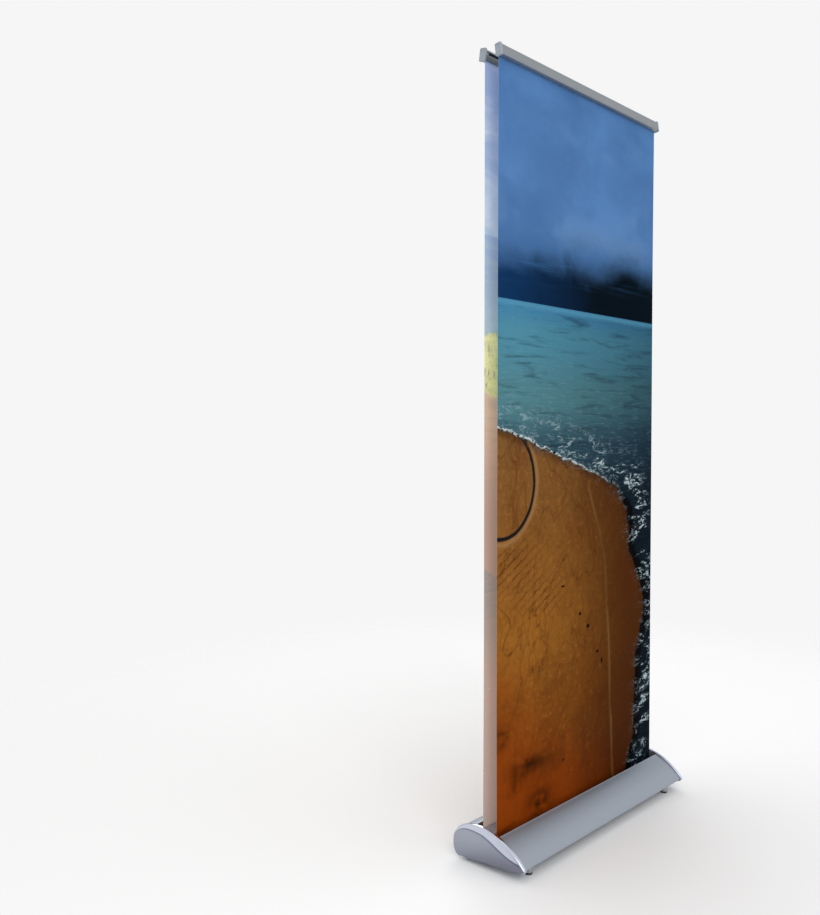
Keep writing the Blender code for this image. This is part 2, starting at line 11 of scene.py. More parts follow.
import bmesh
import bpy
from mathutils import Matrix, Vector

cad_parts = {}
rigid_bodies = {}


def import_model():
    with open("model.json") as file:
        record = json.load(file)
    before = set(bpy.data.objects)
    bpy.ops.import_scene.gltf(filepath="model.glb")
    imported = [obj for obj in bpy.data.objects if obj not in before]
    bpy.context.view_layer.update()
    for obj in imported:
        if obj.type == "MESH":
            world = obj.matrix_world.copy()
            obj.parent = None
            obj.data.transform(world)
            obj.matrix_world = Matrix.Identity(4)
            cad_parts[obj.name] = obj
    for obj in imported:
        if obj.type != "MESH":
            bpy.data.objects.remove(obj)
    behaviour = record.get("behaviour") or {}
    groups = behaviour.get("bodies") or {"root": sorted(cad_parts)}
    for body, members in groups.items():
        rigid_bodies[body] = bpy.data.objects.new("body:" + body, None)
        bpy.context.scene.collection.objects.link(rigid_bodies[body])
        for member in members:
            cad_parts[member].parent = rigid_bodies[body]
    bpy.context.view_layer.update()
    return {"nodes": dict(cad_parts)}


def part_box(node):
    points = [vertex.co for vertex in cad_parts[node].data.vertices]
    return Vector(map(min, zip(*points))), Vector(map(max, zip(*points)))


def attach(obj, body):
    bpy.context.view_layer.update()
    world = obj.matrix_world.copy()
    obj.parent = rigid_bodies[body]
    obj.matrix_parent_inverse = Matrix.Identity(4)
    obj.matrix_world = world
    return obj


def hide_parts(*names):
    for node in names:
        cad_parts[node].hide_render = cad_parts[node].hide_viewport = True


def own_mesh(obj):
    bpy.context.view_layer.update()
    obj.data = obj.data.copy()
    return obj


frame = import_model()
NODES = frame["nodes"]
MM = 0.001
SHEETS = {"front": -1, "rear": 1}  # the way each printed sheet faces along Y
SIDES = {"left": -1, "right": 1}  # the way each end faces along X


def low(node):
    return Vector(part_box(node)[0])


def high(node):
    return Vector(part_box(node)[1])


def middle(node):
    return (low(node) + high(node)) / 2


# %% [markdown]
# ## Camera and studio
#
# The camera stands to the left of the stand at about chest height and looks slightly down. A plain pale floor fades
# out with distance, so that no horizon line shows. The world gives soft light from above, with two darker patches:
# plated and anodised metal needs something dark to reflect, or it looks like grey paint. Rays from the camera itself
# see one plain tone instead.

# %% Camera
CAMERA_PLACE = (-2.235, -1.4335, 1.134)
CAMERA_YAW, CAMERA_PITCH = math.radians(46.7), math.radians(-1.66)
camera_data = bpy.data.cameras.new("camera")
camera_data.lens = 35.6
camera_data.sensor_width = 36.0
camera = bpy.data.objects.new("camera", camera_data)
camera.location = CAMERA_PLACE
camera.rotation_euler = (math.pi / 2 + CAMERA_PITCH, 0.0, -CAMERA_YAW)
bpy.context.scene.collection.objects.link(camera)
bpy.context.scene.camera = camera
bpy.context.scene.view_settings.view_transform = "Standard"
print("camera", CAMERA_PLACE, "lens", camera_data.lens)

# %% [markdown]
# ## Writing shader maths as Python
#
# A shader is a graph of small nodes, and long sums are hard to read as a graph. `Value` wraps one socket and turns
# `a * b + 1` into Math nodes, so that a pattern can be written as a formula. `Nodes` owns one node tree and makes any
# other node from its type, its settings and its inputs.


# %% The shader helpers
def srgb(red, green, blue):
    """A colour given as 0 to 255 on a screen, as the linear light that shaders work in."""
    def linear(c):
        c /= 255
        return c / 12.92 if c <= 0.04045 else ((c + 0.055) / 1.055) ** 2.4

    return (linear(red), linear(green), linear(blue), 1.0)


class Value:
    """A number that varies over a surface."""

    def __init__(self, nodes, socket):
        self.nodes, self.socket = nodes, socket

    def math(self, operation, *others):
        return self.nodes.make("ShaderNodeMath", {"operation": operation}, self, *others)

    def __add__(self, other):
        return self.math("ADD", other)

    def __sub__(self, other):
        return self.math("SUBTRACT", other)

    def __rsub__(self, other):
        return (self * -1.0) + other

    def __mul__(self, other):
        return self.math("MULTIPLY", other)

    def __truediv__(self, other):
        return self.math("DIVIDE", other)

    def __pow__(self, other):
        return self.math("POWER", other)

    __radd__, __rmul__ = __add__, __mul__

    def at_least(self, other):
        return self.math("MAXIMUM", other)

    def at_most(self, other):
        return self.math("MINIMUM", other)

    def size(self):
        return self.math("ABSOLUTE")

    def ramp(self, start, end, smooth=True):
        """0 where the value is at start, 1 where it is at end."""
        settings = {"interpolation_type": "SMOOTHSTEP" if smooth else "LINEAR", "clamp": True}
        return self.nodes.make("ShaderNodeMapRange", settings, self, start, end, 0.0, 1.0)

    def bump_at(self, centre, width):
        """A round hump, 1 at centre and about 0 beyond twice the width."""
        offset = (self - centre) / width
        return (offset * offset * -1.0).math("EXPONENT")


class Nodes:
    """One node tree, with short ways to make and link its nodes."""

    def __init__(self, tree):
        self.tree = tree
        tree.nodes.clear()

    def make(self, kind, settings=None, *inputs, output=0, **named):
        node = self.tree.nodes.new(kind)
        for key, value in (settings or {}).items():
            setattr(node, key, value)
        self.feed(node, {**dict(enumerate(inputs)), **named})
        return Value(self, node.outputs[output])

    def feed(self, node, values):
        """Links each value to the node's input of that name or number, or sets the input to a constant."""
        for key, value in values.items():
            if isinstance(value, Value):
                self.tree.links.new(value.socket, node.inputs[key])
            elif value is not None:
                node.inputs[key].default_value = value

    def point(self):
        """The surface point in the object's own metres, as a vector."""
        return self.make("ShaderNodeTexCoord", output="Object")

    def xyz(self, vector):
        node = self.tree.nodes.new("ShaderNodeSeparateXYZ")
        self.feed(node, {0: vector})
        return [Value(self, out) for out in node.outputs]

    def stretched(self, vector, scale):
        return self.make("ShaderNodeVectorMath", {"operation": "MULTIPLY"}, vector, scale)

    def noise(self, vector, scale=(1, 1, 1), detail=3.0, roughness=0.5, distortion=0.0):
        """Cloudy noise, about 0 to 1, with as many blotches in a metre as scale says."""
        place = self.stretched(vector, scale)
        named = {"Vector": place, "Scale": 1.0, "Detail": detail, "Roughness": roughness, "Distortion": distortion}
        return self.make("ShaderNodeTexNoise", {}, **named)

    def mix(self, factor, first, second):
        """A colour between first and second. A Mix node keeps its colour sockets after those for other kinds."""
        node = self.tree.nodes.new("ShaderNodeMix")
        node.data_type = "RGBA"
        self.feed(node, {0: factor, 6: first, 7: second})
        return Value(self, node.outputs[2])

    def colours(self, value, stops):
        """A colour that follows the value through stops, a list of (place, colour)."""
        node = self.tree.nodes.new("ShaderNodeValToRGB")
        ramp = node.color_ramp
        ramp.interpolation = "EASE"
        while len(ramp.elements) < len(stops):
            ramp.elements.new(0.5)
        for element, (place, colour) in zip(ramp.elements, stops):
            element.position = place
            element.color = colour
        self.feed(node, {0: value})
        return Value(self, node.outputs[0])


    def end(self, kind, shader):
        self.feed(self.tree.nodes.new(kind), {"Surface": shader})


def new_material(name):
    material = bpy.data.materials.new(name)
    material.use_nodes = True
    return material, Nodes(material.node_tree)


def surface(nodes, colour, roughness, metallic=0.0, bump=None, strength=0.2, distance=0.0002, others=None):
    """Ends a tree in a Principled surface. Others are more of the shader's own sockets, by name."""
    named = {"Base Color": colour, "Roughness": roughness, "Metallic": metallic, **(others or {})}
    if bump is not None:
        named["Normal"] = nodes.make("ShaderNodeBump", {}, Strength=strength, Distance=distance, Height=bump)
    nodes.end("ShaderNodeOutputMaterial", nodes.make("ShaderNodeBsdfPrincipled", {}, **named))


# %% Floor and world
FLOOR_RADIUS = 9.0
FADE_FROM, FADE_TO = 1.1, 3.2  # how far from the stand the floor starts to fade, and is gone
STUDIO_TONE = srgb(246, 246, 246)


def make_floor():
    mesh = bpy.data.meshes.new("floor")
    shape = bmesh.new()
    bmesh.ops.create_circle(shape, cap_ends=True, radius=FLOOR_RADIUS, segments=96)
    shape.to_mesh(mesh)
    shape.free()
    floor = bpy.data.objects.new("floor", mesh)
    bpy.context.scene.collection.objects.link(floor)
    material, nodes = new_material("pale_floor")
    x, y, _ = nodes.xyz(nodes.point())
    far = (x * x + y * y) ** 0.5
    shader = nodes.make("ShaderNodeBsdfDiffuse", {}, srgb(243, 243, 243))
    clear = nodes.make("ShaderNodeBsdfTransparent")
    faded = nodes.make("ShaderNodeMixShader", {}, far.ramp(FADE_FROM, FADE_TO), shader, clear)
    nodes.end("ShaderNodeOutputMaterial", faded)
    mesh.materials.append(material)


def make_world():
    """Soft light from above, two dark patches for the metal, and a plain tone for the camera."""
    world = bpy.data.worlds.new("studio")
    bpy.context.scene.world = world
    world.use_nodes = True
    nodes = Nodes(world.node_tree)
    x, y, z = nodes.xyz(nodes.point())
    greys = ((0.0, 0.80), (0.47, 0.74), (0.56, 0.62), (0.72, 0.92), (1.0, 1.02))  # from the nadir to the zenith
    dome = nodes.colours(z * 0.5 + 0.5, [(place, (grey,) * 3 + (1,)) for place, grey in greys])
    in_front = (x * 0.55 - y * 0.83).bump_at(0.42, 0.16) * z.bump_at(0.62, 0.16)
    lit = nodes.mix(in_front * 0.75, dome, (0.10, 0.10, 0.11, 1.0))
    behind = (x * 0.84 + y * 0.54).bump_at(1.0, 0.20) * z.bump_at(0.20, 0.13)
    lit = nodes.mix(behind * 0.85, lit, (0.07, 0.075, 0.09, 1.0))
    ray = nodes.make("ShaderNodeLightPath", output="Is Camera Ray")
    seen = nodes.mix(ray, lit, STUDIO_TONE)
    nodes.end("ShaderNodeOutputWorld", nodes.make("ShaderNodeBackground", {}, seen, 1.0))


def add_softbox(name, place, target, size, power):
    data = bpy.data.lights.new(name, "AREA")
    data.shape = "RECTANGLE"
    data.size, data.size_y = size
    data.energy = power
    lamp = bpy.data.objects.new(name, data)
    lamp.location = place
    lamp.rotation_euler = (Vector(target) - Vector(place)).to_track_quat("-Z", "Y").to_euler()
    bpy.context.scene.collection.objects.link(lamp)


make_floor()
make_world()
add_softbox("key_softbox", (-2.6, -3.4, 3.2), (0, 0, 1.0), (2.4, 2.4), 60.0)
add_softbox("fill_softbox", (3.4, 2.8, 3.0), (0, 0, 1.0), (2.6, 2.6), 45.0)
print("lights", len(bpy.data.lights))

# %% [markdown]
# ## The metals and plastics
#
# Extruded aluminium carries faint die lines along its length, under a fine satin grain. The lines are a noise that is
# squeezed hard across the extrusion and hardly at all along it. The same tree serves the upright tubes with the
# directions swapped. Plated and moulded pieces get their own grain at their own scale, and handling marks change
# only how rough they are.


# %% Metal finishes
def darker(tone, share):
    return tuple(share * c for c in tone[:3]) + (1.0,)


def aluminium(name, tone, along, roughness=0.40):
    """Satin anodised aluminium. Along is the axis that the die lines follow."""
    material, nodes = new_material(name)
    point = nodes.point()
    stretch = [620.0, 620.0, 620.0]
    stretch["XYZ".index(along)] = 1.5
    lines = nodes.noise(point, stretch, detail=2.0)
    grain = nodes.noise(point, (2400,) * 3, detail=1.0)
    handled = nodes.noise(point, (7.0,) * 3, detail=4.0, roughness=0.62)
    colour = nodes.mix(lines * 0.6 + handled * 0.4, darker(tone, 0.90), tone)
    rough = handled * 0.14 + lines * 0.06 + (roughness - 0.10)
    surface(nodes, colour, rough, 1.0, lines * 0.7 + grain * 0.3, strength=0.10, distance=0.0001)
    return material


def plated(name, tone, roughness, foot_tone=None):
    """Chrome on moulded plastic: nearly smooth, with a slow ripple and faint wiping marks. Given a shade tone, a satin
    panel's colour is made darker towards its foot and its toe: painted shade."""
    material, nodes = new_material(name)
    point = nodes.point()
    ripple = nodes.noise(point, (34.0,) * 3, detail=2.0)
    wiped = nodes.noise(point, (60.0, 320.0, 90.0), detail=3.0)
    dust = nodes.noise(point, (11.0,) * 3, detail=5.0, roughness=0.65)
    colour = nodes.mix(dust.ramp(0.35, 0.75), darker(tone, 0.93), tone)
    if foot_tone:
        _, y, z = nodes.xyz(point)
        # Painted shade: darker towards the panel's foot (low z) and its toe (low y).
        colour = nodes.mix((z * 1.4 + y * 0.45).ramp(0.135, 0.0), colour, foot_tone)
    rough = wiped * 0.05 + dust * 0.06 + (roughness - 0.055)
    surface(nodes, colour, rough, 1.0, ripple, strength=0.12, distance=0.0005)
    return material


def zinc_steel():
    material, nodes = new_material("zinc_plated_steel")
    point = nodes.point()
    flakes = nodes.make("ShaderNodeTexVoronoi", {}, Vector=point, Scale=420.0)
    spots = nodes.noise(point, (160.0,) * 3, detail=3.0)
    colour = nodes.mix(flakes.ramp(0.1, 0.7), srgb(150, 152, 156), srgb(186, 188, 192))
    surface(nodes, colour, spots * 0.25 + 0.22, 1.0, spots, strength=0.15, distance=0.0001)
    return material


# %% Moulded and soft finishes
def moulded(name, tone, roughness=0.42, grain_scale=1500.0, coat=0.0):
    """Moulded plastic: a fine spark-eroded grain over one tone that varies a little."""
    material, nodes = new_material(name)
    point = nodes.point()
    grain = nodes.noise(point, (grain_scale,) * 3, detail=2.0)
    flow = nodes.noise(point, (40.0, 40.0, 70.0), detail=3.0)
    colour = nodes.mix(flow.ramp(0.3, 0.7), darker(tone, 0.90), tone)
    surface(nodes, colour, grain * 0.14 + (roughness - 0.07), 0.0, grain, strength=0.14, distance=0.0001,
            others={"Coat Weight": coat})
    return material


def rubber():
    material, nodes = new_material("black_rubber")
    point = nodes.point()
    dust = nodes.noise(point, (130.0,) * 3, detail=5.0, roughness=0.7)
    colour = nodes.mix(dust.ramp(0.5, 0.8), (0.018, 0.018, 0.019, 1.0), (0.075, 0.072, 0.068, 1.0))
    surface(nodes, colour, dust * 0.2 + 0.68, 0.0, dust, strength=0.25, distance=0.0002)
    return material


METAL = srgb(170, 178, 189)
ALUMINIUM_X = aluminium("anodised_aluminium_base", METAL, "X")
ALUMINIUM_RAIL = aluminium("anodised_aluminium_rail", srgb(158, 163, 168), "X", 0.44)
# The bridge's aluminium is a lighter, bluer copy of the base's: painted light, as the bridge lies in shade between the
# sheets.
ALUMINIUM_BRIDGE_PAINTED_LIGHT = aluminium("anodised_aluminium_bridge", srgb(196, 203, 220), "X", 0.42)
ALUMINIUM_Z = aluminium("anodised_aluminium_pole", srgb(176, 179, 184), "Z", 0.34)
# The satin panel's last tone is painted shade for its foot and toe.
SATIN_CHROME = plated("satin_chrome_panel", srgb(166, 171, 184), 0.30, srgb(126, 127, 141))
CHROME = plated("bright_chrome_rim", srgb(208, 213, 228), 0.13)
ZINC = zinc_steel()
NYLON = moulded("grey_nylon", srgb(84, 86, 90), 0.55, 900.0)
CAP_PLASTIC = moulded("silver_grey_plastic", srgb(150, 160, 170), 0.38, 1700.0, coat=0.15)
RUBBER = rubber()
LEADER = moulded("white_leader_film", srgb(226, 226, 222), 0.50, 500.0)
print("finishes", len(bpy.data.materials))

# %% [markdown]
# ## The printed pictures
#
# Each sheet carries one tall picture. Both are invented landscapes, written as formulas over two numbers: `across`,
# in metres from the sheet's left edge, and `down`, in metres from the rail. The front one is a sandy headland seen
# from the air, with a blue-green sea and a dark cloud bank. The picture is built like a painting, from the far sky
# down: each layer is a colour, and a mask says where it covers the layers before it.

# %% Sky and sea
SHEET_WIDTH = 0.8
RAIL_MOUTH_Z = 2.080


def picture_place(nodes, facing):
    """Across from the viewer's left and down from the rail, in metres, and the point itself."""
    point = nodes.point()
    x, _, z = nodes.xyz(point)
    across = x * (-1.0 * facing) + SHEET_WIDTH / 2
    return across, RAIL_MOUTH_Z - z, point


def paint_sky(nodes, across, down, point):
    """Blue haze with soft clouds, and a nearly black bank that rests on the horizon."""
    puffs = nodes.noise(point, (3.2, 1.0, 5.0), detail=6.0, roughness=0.52, distortion=0.3)
    wisps = nodes.noise(point, (6.0, 1.0, 8.0), detail=6.0, roughness=0.60, distortion=0.4)
    sky = nodes.mix(puffs.ramp(0.30, 0.70), srgb(72, 112, 164), srgb(86, 130, 184))
    sky = nodes.mix(wisps.ramp(0.50, 0.74) * 0.30, sky, srgb(104, 142, 190))
    sky = nodes.mix(down.bump_at(0.40, 0.05) * puffs.ramp(0.35, 0.65) * 0.5, sky, srgb(112, 146, 188))
    edge = (puffs - 0.5) * 0.14 + (wisps - 0.5) * 0.09 + across * 0.05
    haze = (down + edge).ramp(0.38, 0.50)
    sky = nodes.mix(haze * 0.55, sky, srgb(46, 82, 124))
    bank = (down + edge).ramp(0.445, 0.555)
    bank_tone = nodes.mix((across + wisps * 0.2).ramp(0.0, 0.62), srgb(16, 52, 94), srgb(2, 14, 24))
    sky = nodes.mix(bank, sky, bank_tone)
    streaks = nodes.noise(point, (3.0, 1.0, 60.0), detail=4.0)
    glow = streaks.ramp(0.50, 0.70) * down.bump_at(0.49, 0.04) * (0.85 - across)
    return nodes.mix(glow * 0.8, sky, srgb(52, 100, 150))


def paint_sea(nodes, across, down, point):
    """Grey-green water that darkens to the right and towards the viewer."""
    tone = nodes.colours(down.ramp(0.60, 1.50, smooth=False), [
        (0.0, srgb(62, 124, 162)), (0.10, srgb(76, 136, 158)), (0.28, srgb(80, 128, 138)),
        (0.45, srgb(50, 78, 90)), (1.0, srgb(14, 24, 32))])
    swell = nodes.noise(point, (5.0, 1.0, 46.0), detail=5.0, roughness=0.6, distortion=0.6)
    chop = nodes.noise(point, (22.0, 1.0, 170.0), detail=3.0, roughness=0.6)
    shade = across.ramp(0.10, 0.90, smooth=False) * (down.ramp(0.60, 1.05) * 0.30 + 0.60)
    sea = nodes.mix(shade, tone, srgb(8, 24, 44))
    sea = nodes.mix(swell.ramp(0.48, 0.72) * 0.55, sea, srgb(20, 40, 54))
    crest = chop.ramp(0.53, 0.66) * (down.ramp(0.60, 1.10) * 0.30 + 0.10)
    sea = nodes.mix(crest * (1.1 - across), sea, srgb(120, 156, 168))
    return nodes.mix(down.bump_at(0.612, 0.008) * 0.5, sea, srgb(88, 152, 180))


# %% [markdown]
# The headland is one number, the distance out to sea from its edge. It joins two straight coasts with a smooth
# maximum, so that they meet in a round cape, and noise makes them ragged. Every later layer of the shore reads that
# number: wet sand just inside it, a black edge on it, and surf a few centimetres outside.


# %% The headland
def shore_distance(nodes, across, down, point):
    """How far a point lies out to sea from the headland's edge, in metres; negative on land."""
    north = across * 0.27 + 0.940 - down
    east = across - 0.680
    distance = north.math("SMOOTH_MAX", east, 0.30)
    ragged = nodes.noise(point, (12.0, 1.0, 12.0), detail=7.0, roughness=0.66)
    sweep = nodes.noise(point, (3.4, 1.0, 3.4), detail=2.0)
    coves = down.bump_at(1.30, 0.06) * 0.022 - down.bump_at(1.49, 0.10) * 0.050 + down.bump_at(2.0, 0.07) * 0.05
    lower = down.ramp(1.22, 1.40) * 0.020
    return distance + coves - lower + (ragged - 0.5) * 0.062 + (sweep - 0.5) * 0.040


def tracks(nodes, point, scale, detail=4.0, width=0.02):
    """Thin wandering lines, where a smooth noise crosses its middle."""
    field = nodes.noise(point, scale, detail=detail, roughness=0.45, distortion=0.3)
    return (field - 0.5).size().ramp(width, 0.0)


def paint_sand(nodes, across, down, point):
    """Ochre sand with ripples and tracks, redder and darker to the right and at the bottom."""
    tone = nodes.colours(down.ramp(0.94, 2.0, smooth=False), [
        (0.0, srgb(122, 84, 44)), (0.15, srgb(126, 84, 40)), (0.35, srgb(140, 90, 37)),
        (0.52, srgb(148, 94, 34)), (0.75, srgb(132, 76, 22)), (1.0, srgb(118, 50, 6))])
    blotch = nodes.noise(point, (5.0, 1.0, 4.0), detail=6.0, roughness=0.6, distortion=0.8)
    grit = nodes.noise(point, (46.0, 1.0, 58.0), detail=6.0, roughness=0.72)
    speckle = nodes.noise(point, (210.0, 1.0, 240.0), detail=2.0, roughness=0.6)
    sand = nodes.mix((across + blotch * 0.16).ramp(0.16, 0.78) * 0.92, tone, srgb(62, 28, 6))
    sand = nodes.mix(blotch.ramp(0.50, 0.76) * 0.45, sand, srgb(86, 40, 10))
    lit = grit.ramp(0.50, 0.72) * across.ramp(0.75, 0.10) * 0.45
    sand = nodes.mix(lit, sand, srgb(176, 116, 54))
    sand = nodes.mix(grit.ramp(0.46, 0.30) * 0.45, sand, srgb(70, 34, 10))
    sand = nodes.mix(speckle.ramp(0.58, 0.76) * 0.45, sand, srgb(52, 26, 8))
    gullies = tracks(nodes, point, (6.0, 1.0, 3.4)) * 0.5 + tracks(nodes, point, (17.0, 1.0, 11.0), width=0.03) * 0.35
    sand = nodes.mix(gullies * grit.ramp(0.35, 0.6), sand, srgb(74, 36, 12))
    dunes = nodes.noise(point, (5.0, 1.0, 6.5), detail=4.0, roughness=0.55, distortion=0.5)
    low_left = (across * 1.6 + (2.0 - down) * 1.9 + blotch * 0.5).ramp(1.36, 0.55)
    sand = nodes.mix(low_left * 0.85, sand, srgb(136, 58, 6))
    sand = nodes.mix(down.ramp(1.55, 2.0) * across.ramp(0.20, 0.60) * 0.35, sand, srgb(60, 24, 4))
    sand = nodes.mix(low_left * dunes.ramp(0.50, 0.72) * 0.80, sand, srgb(46, 20, 2))
    slant = across * 0.55 + down + grit * 0.03
    wheels = (slant * 250.0).math("SINE").ramp(0.35, 0.95)
    worn = down.bump_at(1.30, 0.07) * across.bump_at(0.05, 0.14) + down.bump_at(1.40, 0.05) * across.bump_at(0.20, 0.10)
    return nodes.mix(wheels * worn * grit.ramp(0.38, 0.56) * 0.7, sand, srgb(70, 36, 14))


# %% Marks on the sand, and the surf
def blob(across, down, place, size):
    """A soft oval, 1 in its middle."""
    return across.bump_at(place[0], size[0]) * down.bump_at(place[1], size[1])


def paint_marks(nodes, sand, across, down, point):
    """The road, the foot path, a few dark boulders and two smudges of shadow."""
    wander = nodes.noise(point, (5.0, 1.0, 5.0), detail=4.0)
    path_x = 0.44 + down.ramp(1.05, 1.35) * 0.085 + (down - 1.35) * 0.075 + (wander - 0.5) * 0.03
    path = (across - path_x).bump_at(0.0, 0.0062) * down.ramp(1.07, 1.14)
    sand = nodes.mix(path * wander.ramp(0.30, 0.62) * 0.36, sand, srgb(142, 108, 64))
    road_x, road_y = across - 0.020, (down - 1.082) * 0.97
    radius = (road_x * road_x + road_y * road_y) ** 0.5 + (wander - 0.5) * 0.014
    sand = nodes.mix(radius.bump_at(0.154, 0.0075) * 0.55, sand, srgb(160, 122, 80))
    sand = nodes.mix(radius.bump_at(0.140, 0.0062).ramp(0.25, 0.75), sand, srgb(24, 24, 28))
    boulders = (
        ((0.388, 1.471), (0.007, 0.006)), ((0.430, 1.513), (0.009, 0.007)), ((0.482, 1.596), (0.008, 0.006)),
        ((0.506, 1.628), (0.005, 0.011)), ((0.300, 1.381), (0.012, 0.003)), ((0.305, 1.874), (0.005, 0.004)))
    for place, size in boulders:
        sand = nodes.mix(blob(across, down, place, size).ramp(0.35, 0.65), sand, srgb(22, 10, 6))
    smoke = nodes.noise(point, (12.0, 1.0, 16.0), detail=5.0, roughness=0.6)
    smudges = (((0.140, 1.845), (0.080, 0.030)), ((0.190, 1.960), (0.060, 0.045)), ((0.020, 1.740), (0.030, 0.030)))
    for place, size in smudges:
        sand = nodes.mix(blob(across, down, place, size) * smoke.ramp(0.30, 0.56) * 0.9, sand, srgb(34, 14, 2))
    return sand


def paint_shore(nodes, picture, shore, down, point):
    """The black wet edge and the surf that breaks along it."""
    clumps = nodes.noise(point, (10.0, 1.0, 26.0), detail=3.0, roughness=0.55, distortion=0.8)
    foam = nodes.noise(point, (34.0, 1.0, 84.0), detail=5.0, roughness=0.66, distortion=1.8)
    low_part = down.ramp(1.08, 1.30)
    deep = shore.ramp(-0.002, 0.004) * down.ramp(0.98, 1.16) * 0.80
    picture = nodes.mix(deep, picture, srgb(8, 17, 24))
    black = shore.ramp(-0.004, 0.003) * shore.ramp(low_part * 0.034 + 0.010, low_part * 0.020 + 0.005)
    picture = nodes.mix(black * 0.95, picture, srgb(3, 3, 4))
    band = shore.bump_at(0.058, 0.042) * (down.bump_at(1.14, 0.20) + down.ramp(1.20, 1.30) * 0.8)
    white = foam.ramp(0.49, 0.57) * clumps.ramp(0.47, 0.58) * band * 1.3
    picture = nodes.mix(white.at_most(0.95), picture, srgb(178, 198, 204))
    fringe = shore.bump_at(0.006, 0.004) * down.ramp(1.16, 1.00) * foam.ramp(0.42, 0.54)
    return nodes.mix(fringe, picture, srgb(196, 208, 208))


def front_picture(nodes, facing):
    across, down, point = picture_place(nodes, facing)
    sky = paint_sky(nodes, across, down, point)
    sea = paint_sea(nodes, across, down, point)
    water = nodes.mix(down.ramp(0.6035, 0.6060), sky, sea)
    sand = paint_marks(nodes, paint_sand(nodes, across, down, point), across, down, point)
    shore = shore_distance(nodes, across, down, point)
    damp = nodes.mix(shore.ramp(-0.030, -0.004) * 0.6, sand, srgb(58, 32, 14))
    picture = nodes.mix(shore.ramp(0.0015, -0.0015), water, damp)
    return paint_shore(nodes, picture, shore, down, point)


# %% [markdown]
# The rear sheet has a picture of its own, of dunes and grass under a hazy sky. From the front only its back shows,
# where the film lets the print through as a pale, milky version of itself. Both faces are made by one function:
# the back of a sheet mixes its picture with white.


# %% The rear picture
def add_dune(nodes, picture, place, base, sway, lit, dark, tilt=0.0, tufts=0.0):
    """Lays one dune over the picture: light on its crest, darker down its slope, with grass along the crest."""
    across, down, point = place
    line = nodes.noise(nodes.stretched(point, (1.0, 1.0, 0.12)), (2.6 + base, 1.0, 1.0), detail=3.0, roughness=0.45)
    blades = nodes.noise(point, (150.0, 1.0, 14.0), detail=4.0, roughness=0.7)
    depth = down - across * tilt - (line - 0.5) * sway - blades * tufts - base
    grain = nodes.noise(point, (60.0, 1.0, 90.0), detail=5.0, roughness=0.7)
    wind = nodes.noise(point, (5.0, 1.0, 44.0), detail=5.0, roughness=0.62, distortion=0.9)
    tone = nodes.mix(depth.ramp(0.0, 0.34), lit, dark)
    tone = nodes.mix(wind.ramp(0.46, 0.64) * 0.40, tone, dark)
    tone = nodes.mix(grain.ramp(0.55, 0.75) * 0.35, tone, lit)
    return nodes.mix(depth.ramp(0.0, 0.0035), picture, tone)


def rear_picture(nodes, facing):
    place = picture_place(nodes, facing)
    across, down, point = place
    puffs = nodes.noise(point, (3.6, 1.0, 7.5), detail=7.0, roughness=0.56, distortion=0.4)
    sky = nodes.mix(down.ramp(0.05, 0.58), srgb(66, 120, 184), srgb(150, 186, 214))
    sky = nodes.mix(puffs.ramp(0.46, 0.68) * 0.75, sky, srgb(206, 218, 226))
    picture = add_dune(nodes, sky, place, 0.470, 0.10, srgb(104, 150, 196), srgb(150, 182, 196), -0.04, 0.004)
    picture = add_dune(nodes, picture, place, 0.600, 0.16, srgb(236, 228, 128), srgb(196, 190, 66), 0.10, 0.030)
    tufts = nodes.noise(point, (26.0, 1.0, 30.0), detail=5.0, roughness=0.62)
    blades = nodes.noise(point, (170.0, 1.0, 22.0), detail=4.0, roughness=0.7)
    meadow = down.bump_at(0.80, 0.13) * tufts.ramp(0.42, 0.60) * blades.ramp(0.40, 0.60)
    picture = nodes.mix(meadow, picture, srgb(84, 104, 34))
    picture = add_dune(nodes, picture, place, 0.960, 0.30, srgb(206, 160, 112), srgb(160, 108, 66), -0.16, 0.028)
    picture = add_dune(nodes, picture, place, 1.240, 0.34, srgb(200, 156, 118), srgb(140, 96, 64), 0.22, 0.0)
    picture = add_dune(nodes, picture, place, 1.470, 0.20, srgb(112, 92, 74), srgb(172, 130, 100), -0.20, 0.020)
    shells = nodes.noise(point, (70.0, 1.0, 90.0), detail=2.0, roughness=0.5)
    picture = nodes.mix(shells.ramp(0.66, 0.72) * down.ramp(1.45, 1.8) * 0.8, picture, srgb(226, 208, 188))
    return nodes.mix(down.ramp(1.60, 2.0) * 0.45, picture, srgb(128, 96, 78))


FILM_GLOSS = {"IOR": 1.06}  # low, so that no grey veil lies on the dark tones
# The glow is painted light: the back faces emit it in place of the light that comes through the film.
MILK, MILK_TONE, PAINTED_GLOW = 0.42, srgb(192, 190, 190), 0.40  # the film from behind: its white share, and its own light


def print_finish(name, picture, facing, seen_through):
    """A printed film. From behind, the picture is pale, and a painted glow, standing in for the light that comes
    through the film, adds to it.
    """
    material, nodes = new_material(name)
    colour = picture(nodes, facing)
    point = nodes.point()
    cloth = nodes.noise(point, (900.0,) * 3, detail=2.0)
    slack = nodes.noise(point, (3.0, 3.0, 1.2), detail=2.0)
    rough = cloth * 0.10 + slack * 0.10 + 0.50
    others = dict(FILM_GLOSS)
    if seen_through:
        colour = nodes.mix(MILK, colour, MILK_TONE)
        # Painted light: the back face glows with its own pale picture.
        others.update({"Emission Color": colour, "Emission Strength": PAINTED_GLOW})
    surface(nodes, colour, rough, 0.0, cloth * 0.2 + slack, strength=0.10, distance=0.0006, others=others)
    return material


FRONT_PRINT = print_finish("front_print", front_picture, -1, False)
FRONT_BACK = print_finish("front_print_seen_through", front_picture, -1, True)
REAR_PRINT = print_finish("rear_print", rear_picture, 1, False)
REAR_BACK = print_finish("rear_print_seen_through", rear_picture, 1, True)
print("printed faces done")

# %% [markdown]
# ## From sections to solids
#
# Most of this stand is extruded: one section, drawn across the base in (y, z), and carried along X. A section is a
# list of points in millimetres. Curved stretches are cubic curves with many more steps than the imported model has.
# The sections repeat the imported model's own points, so the finer pieces land where the plain ones were.


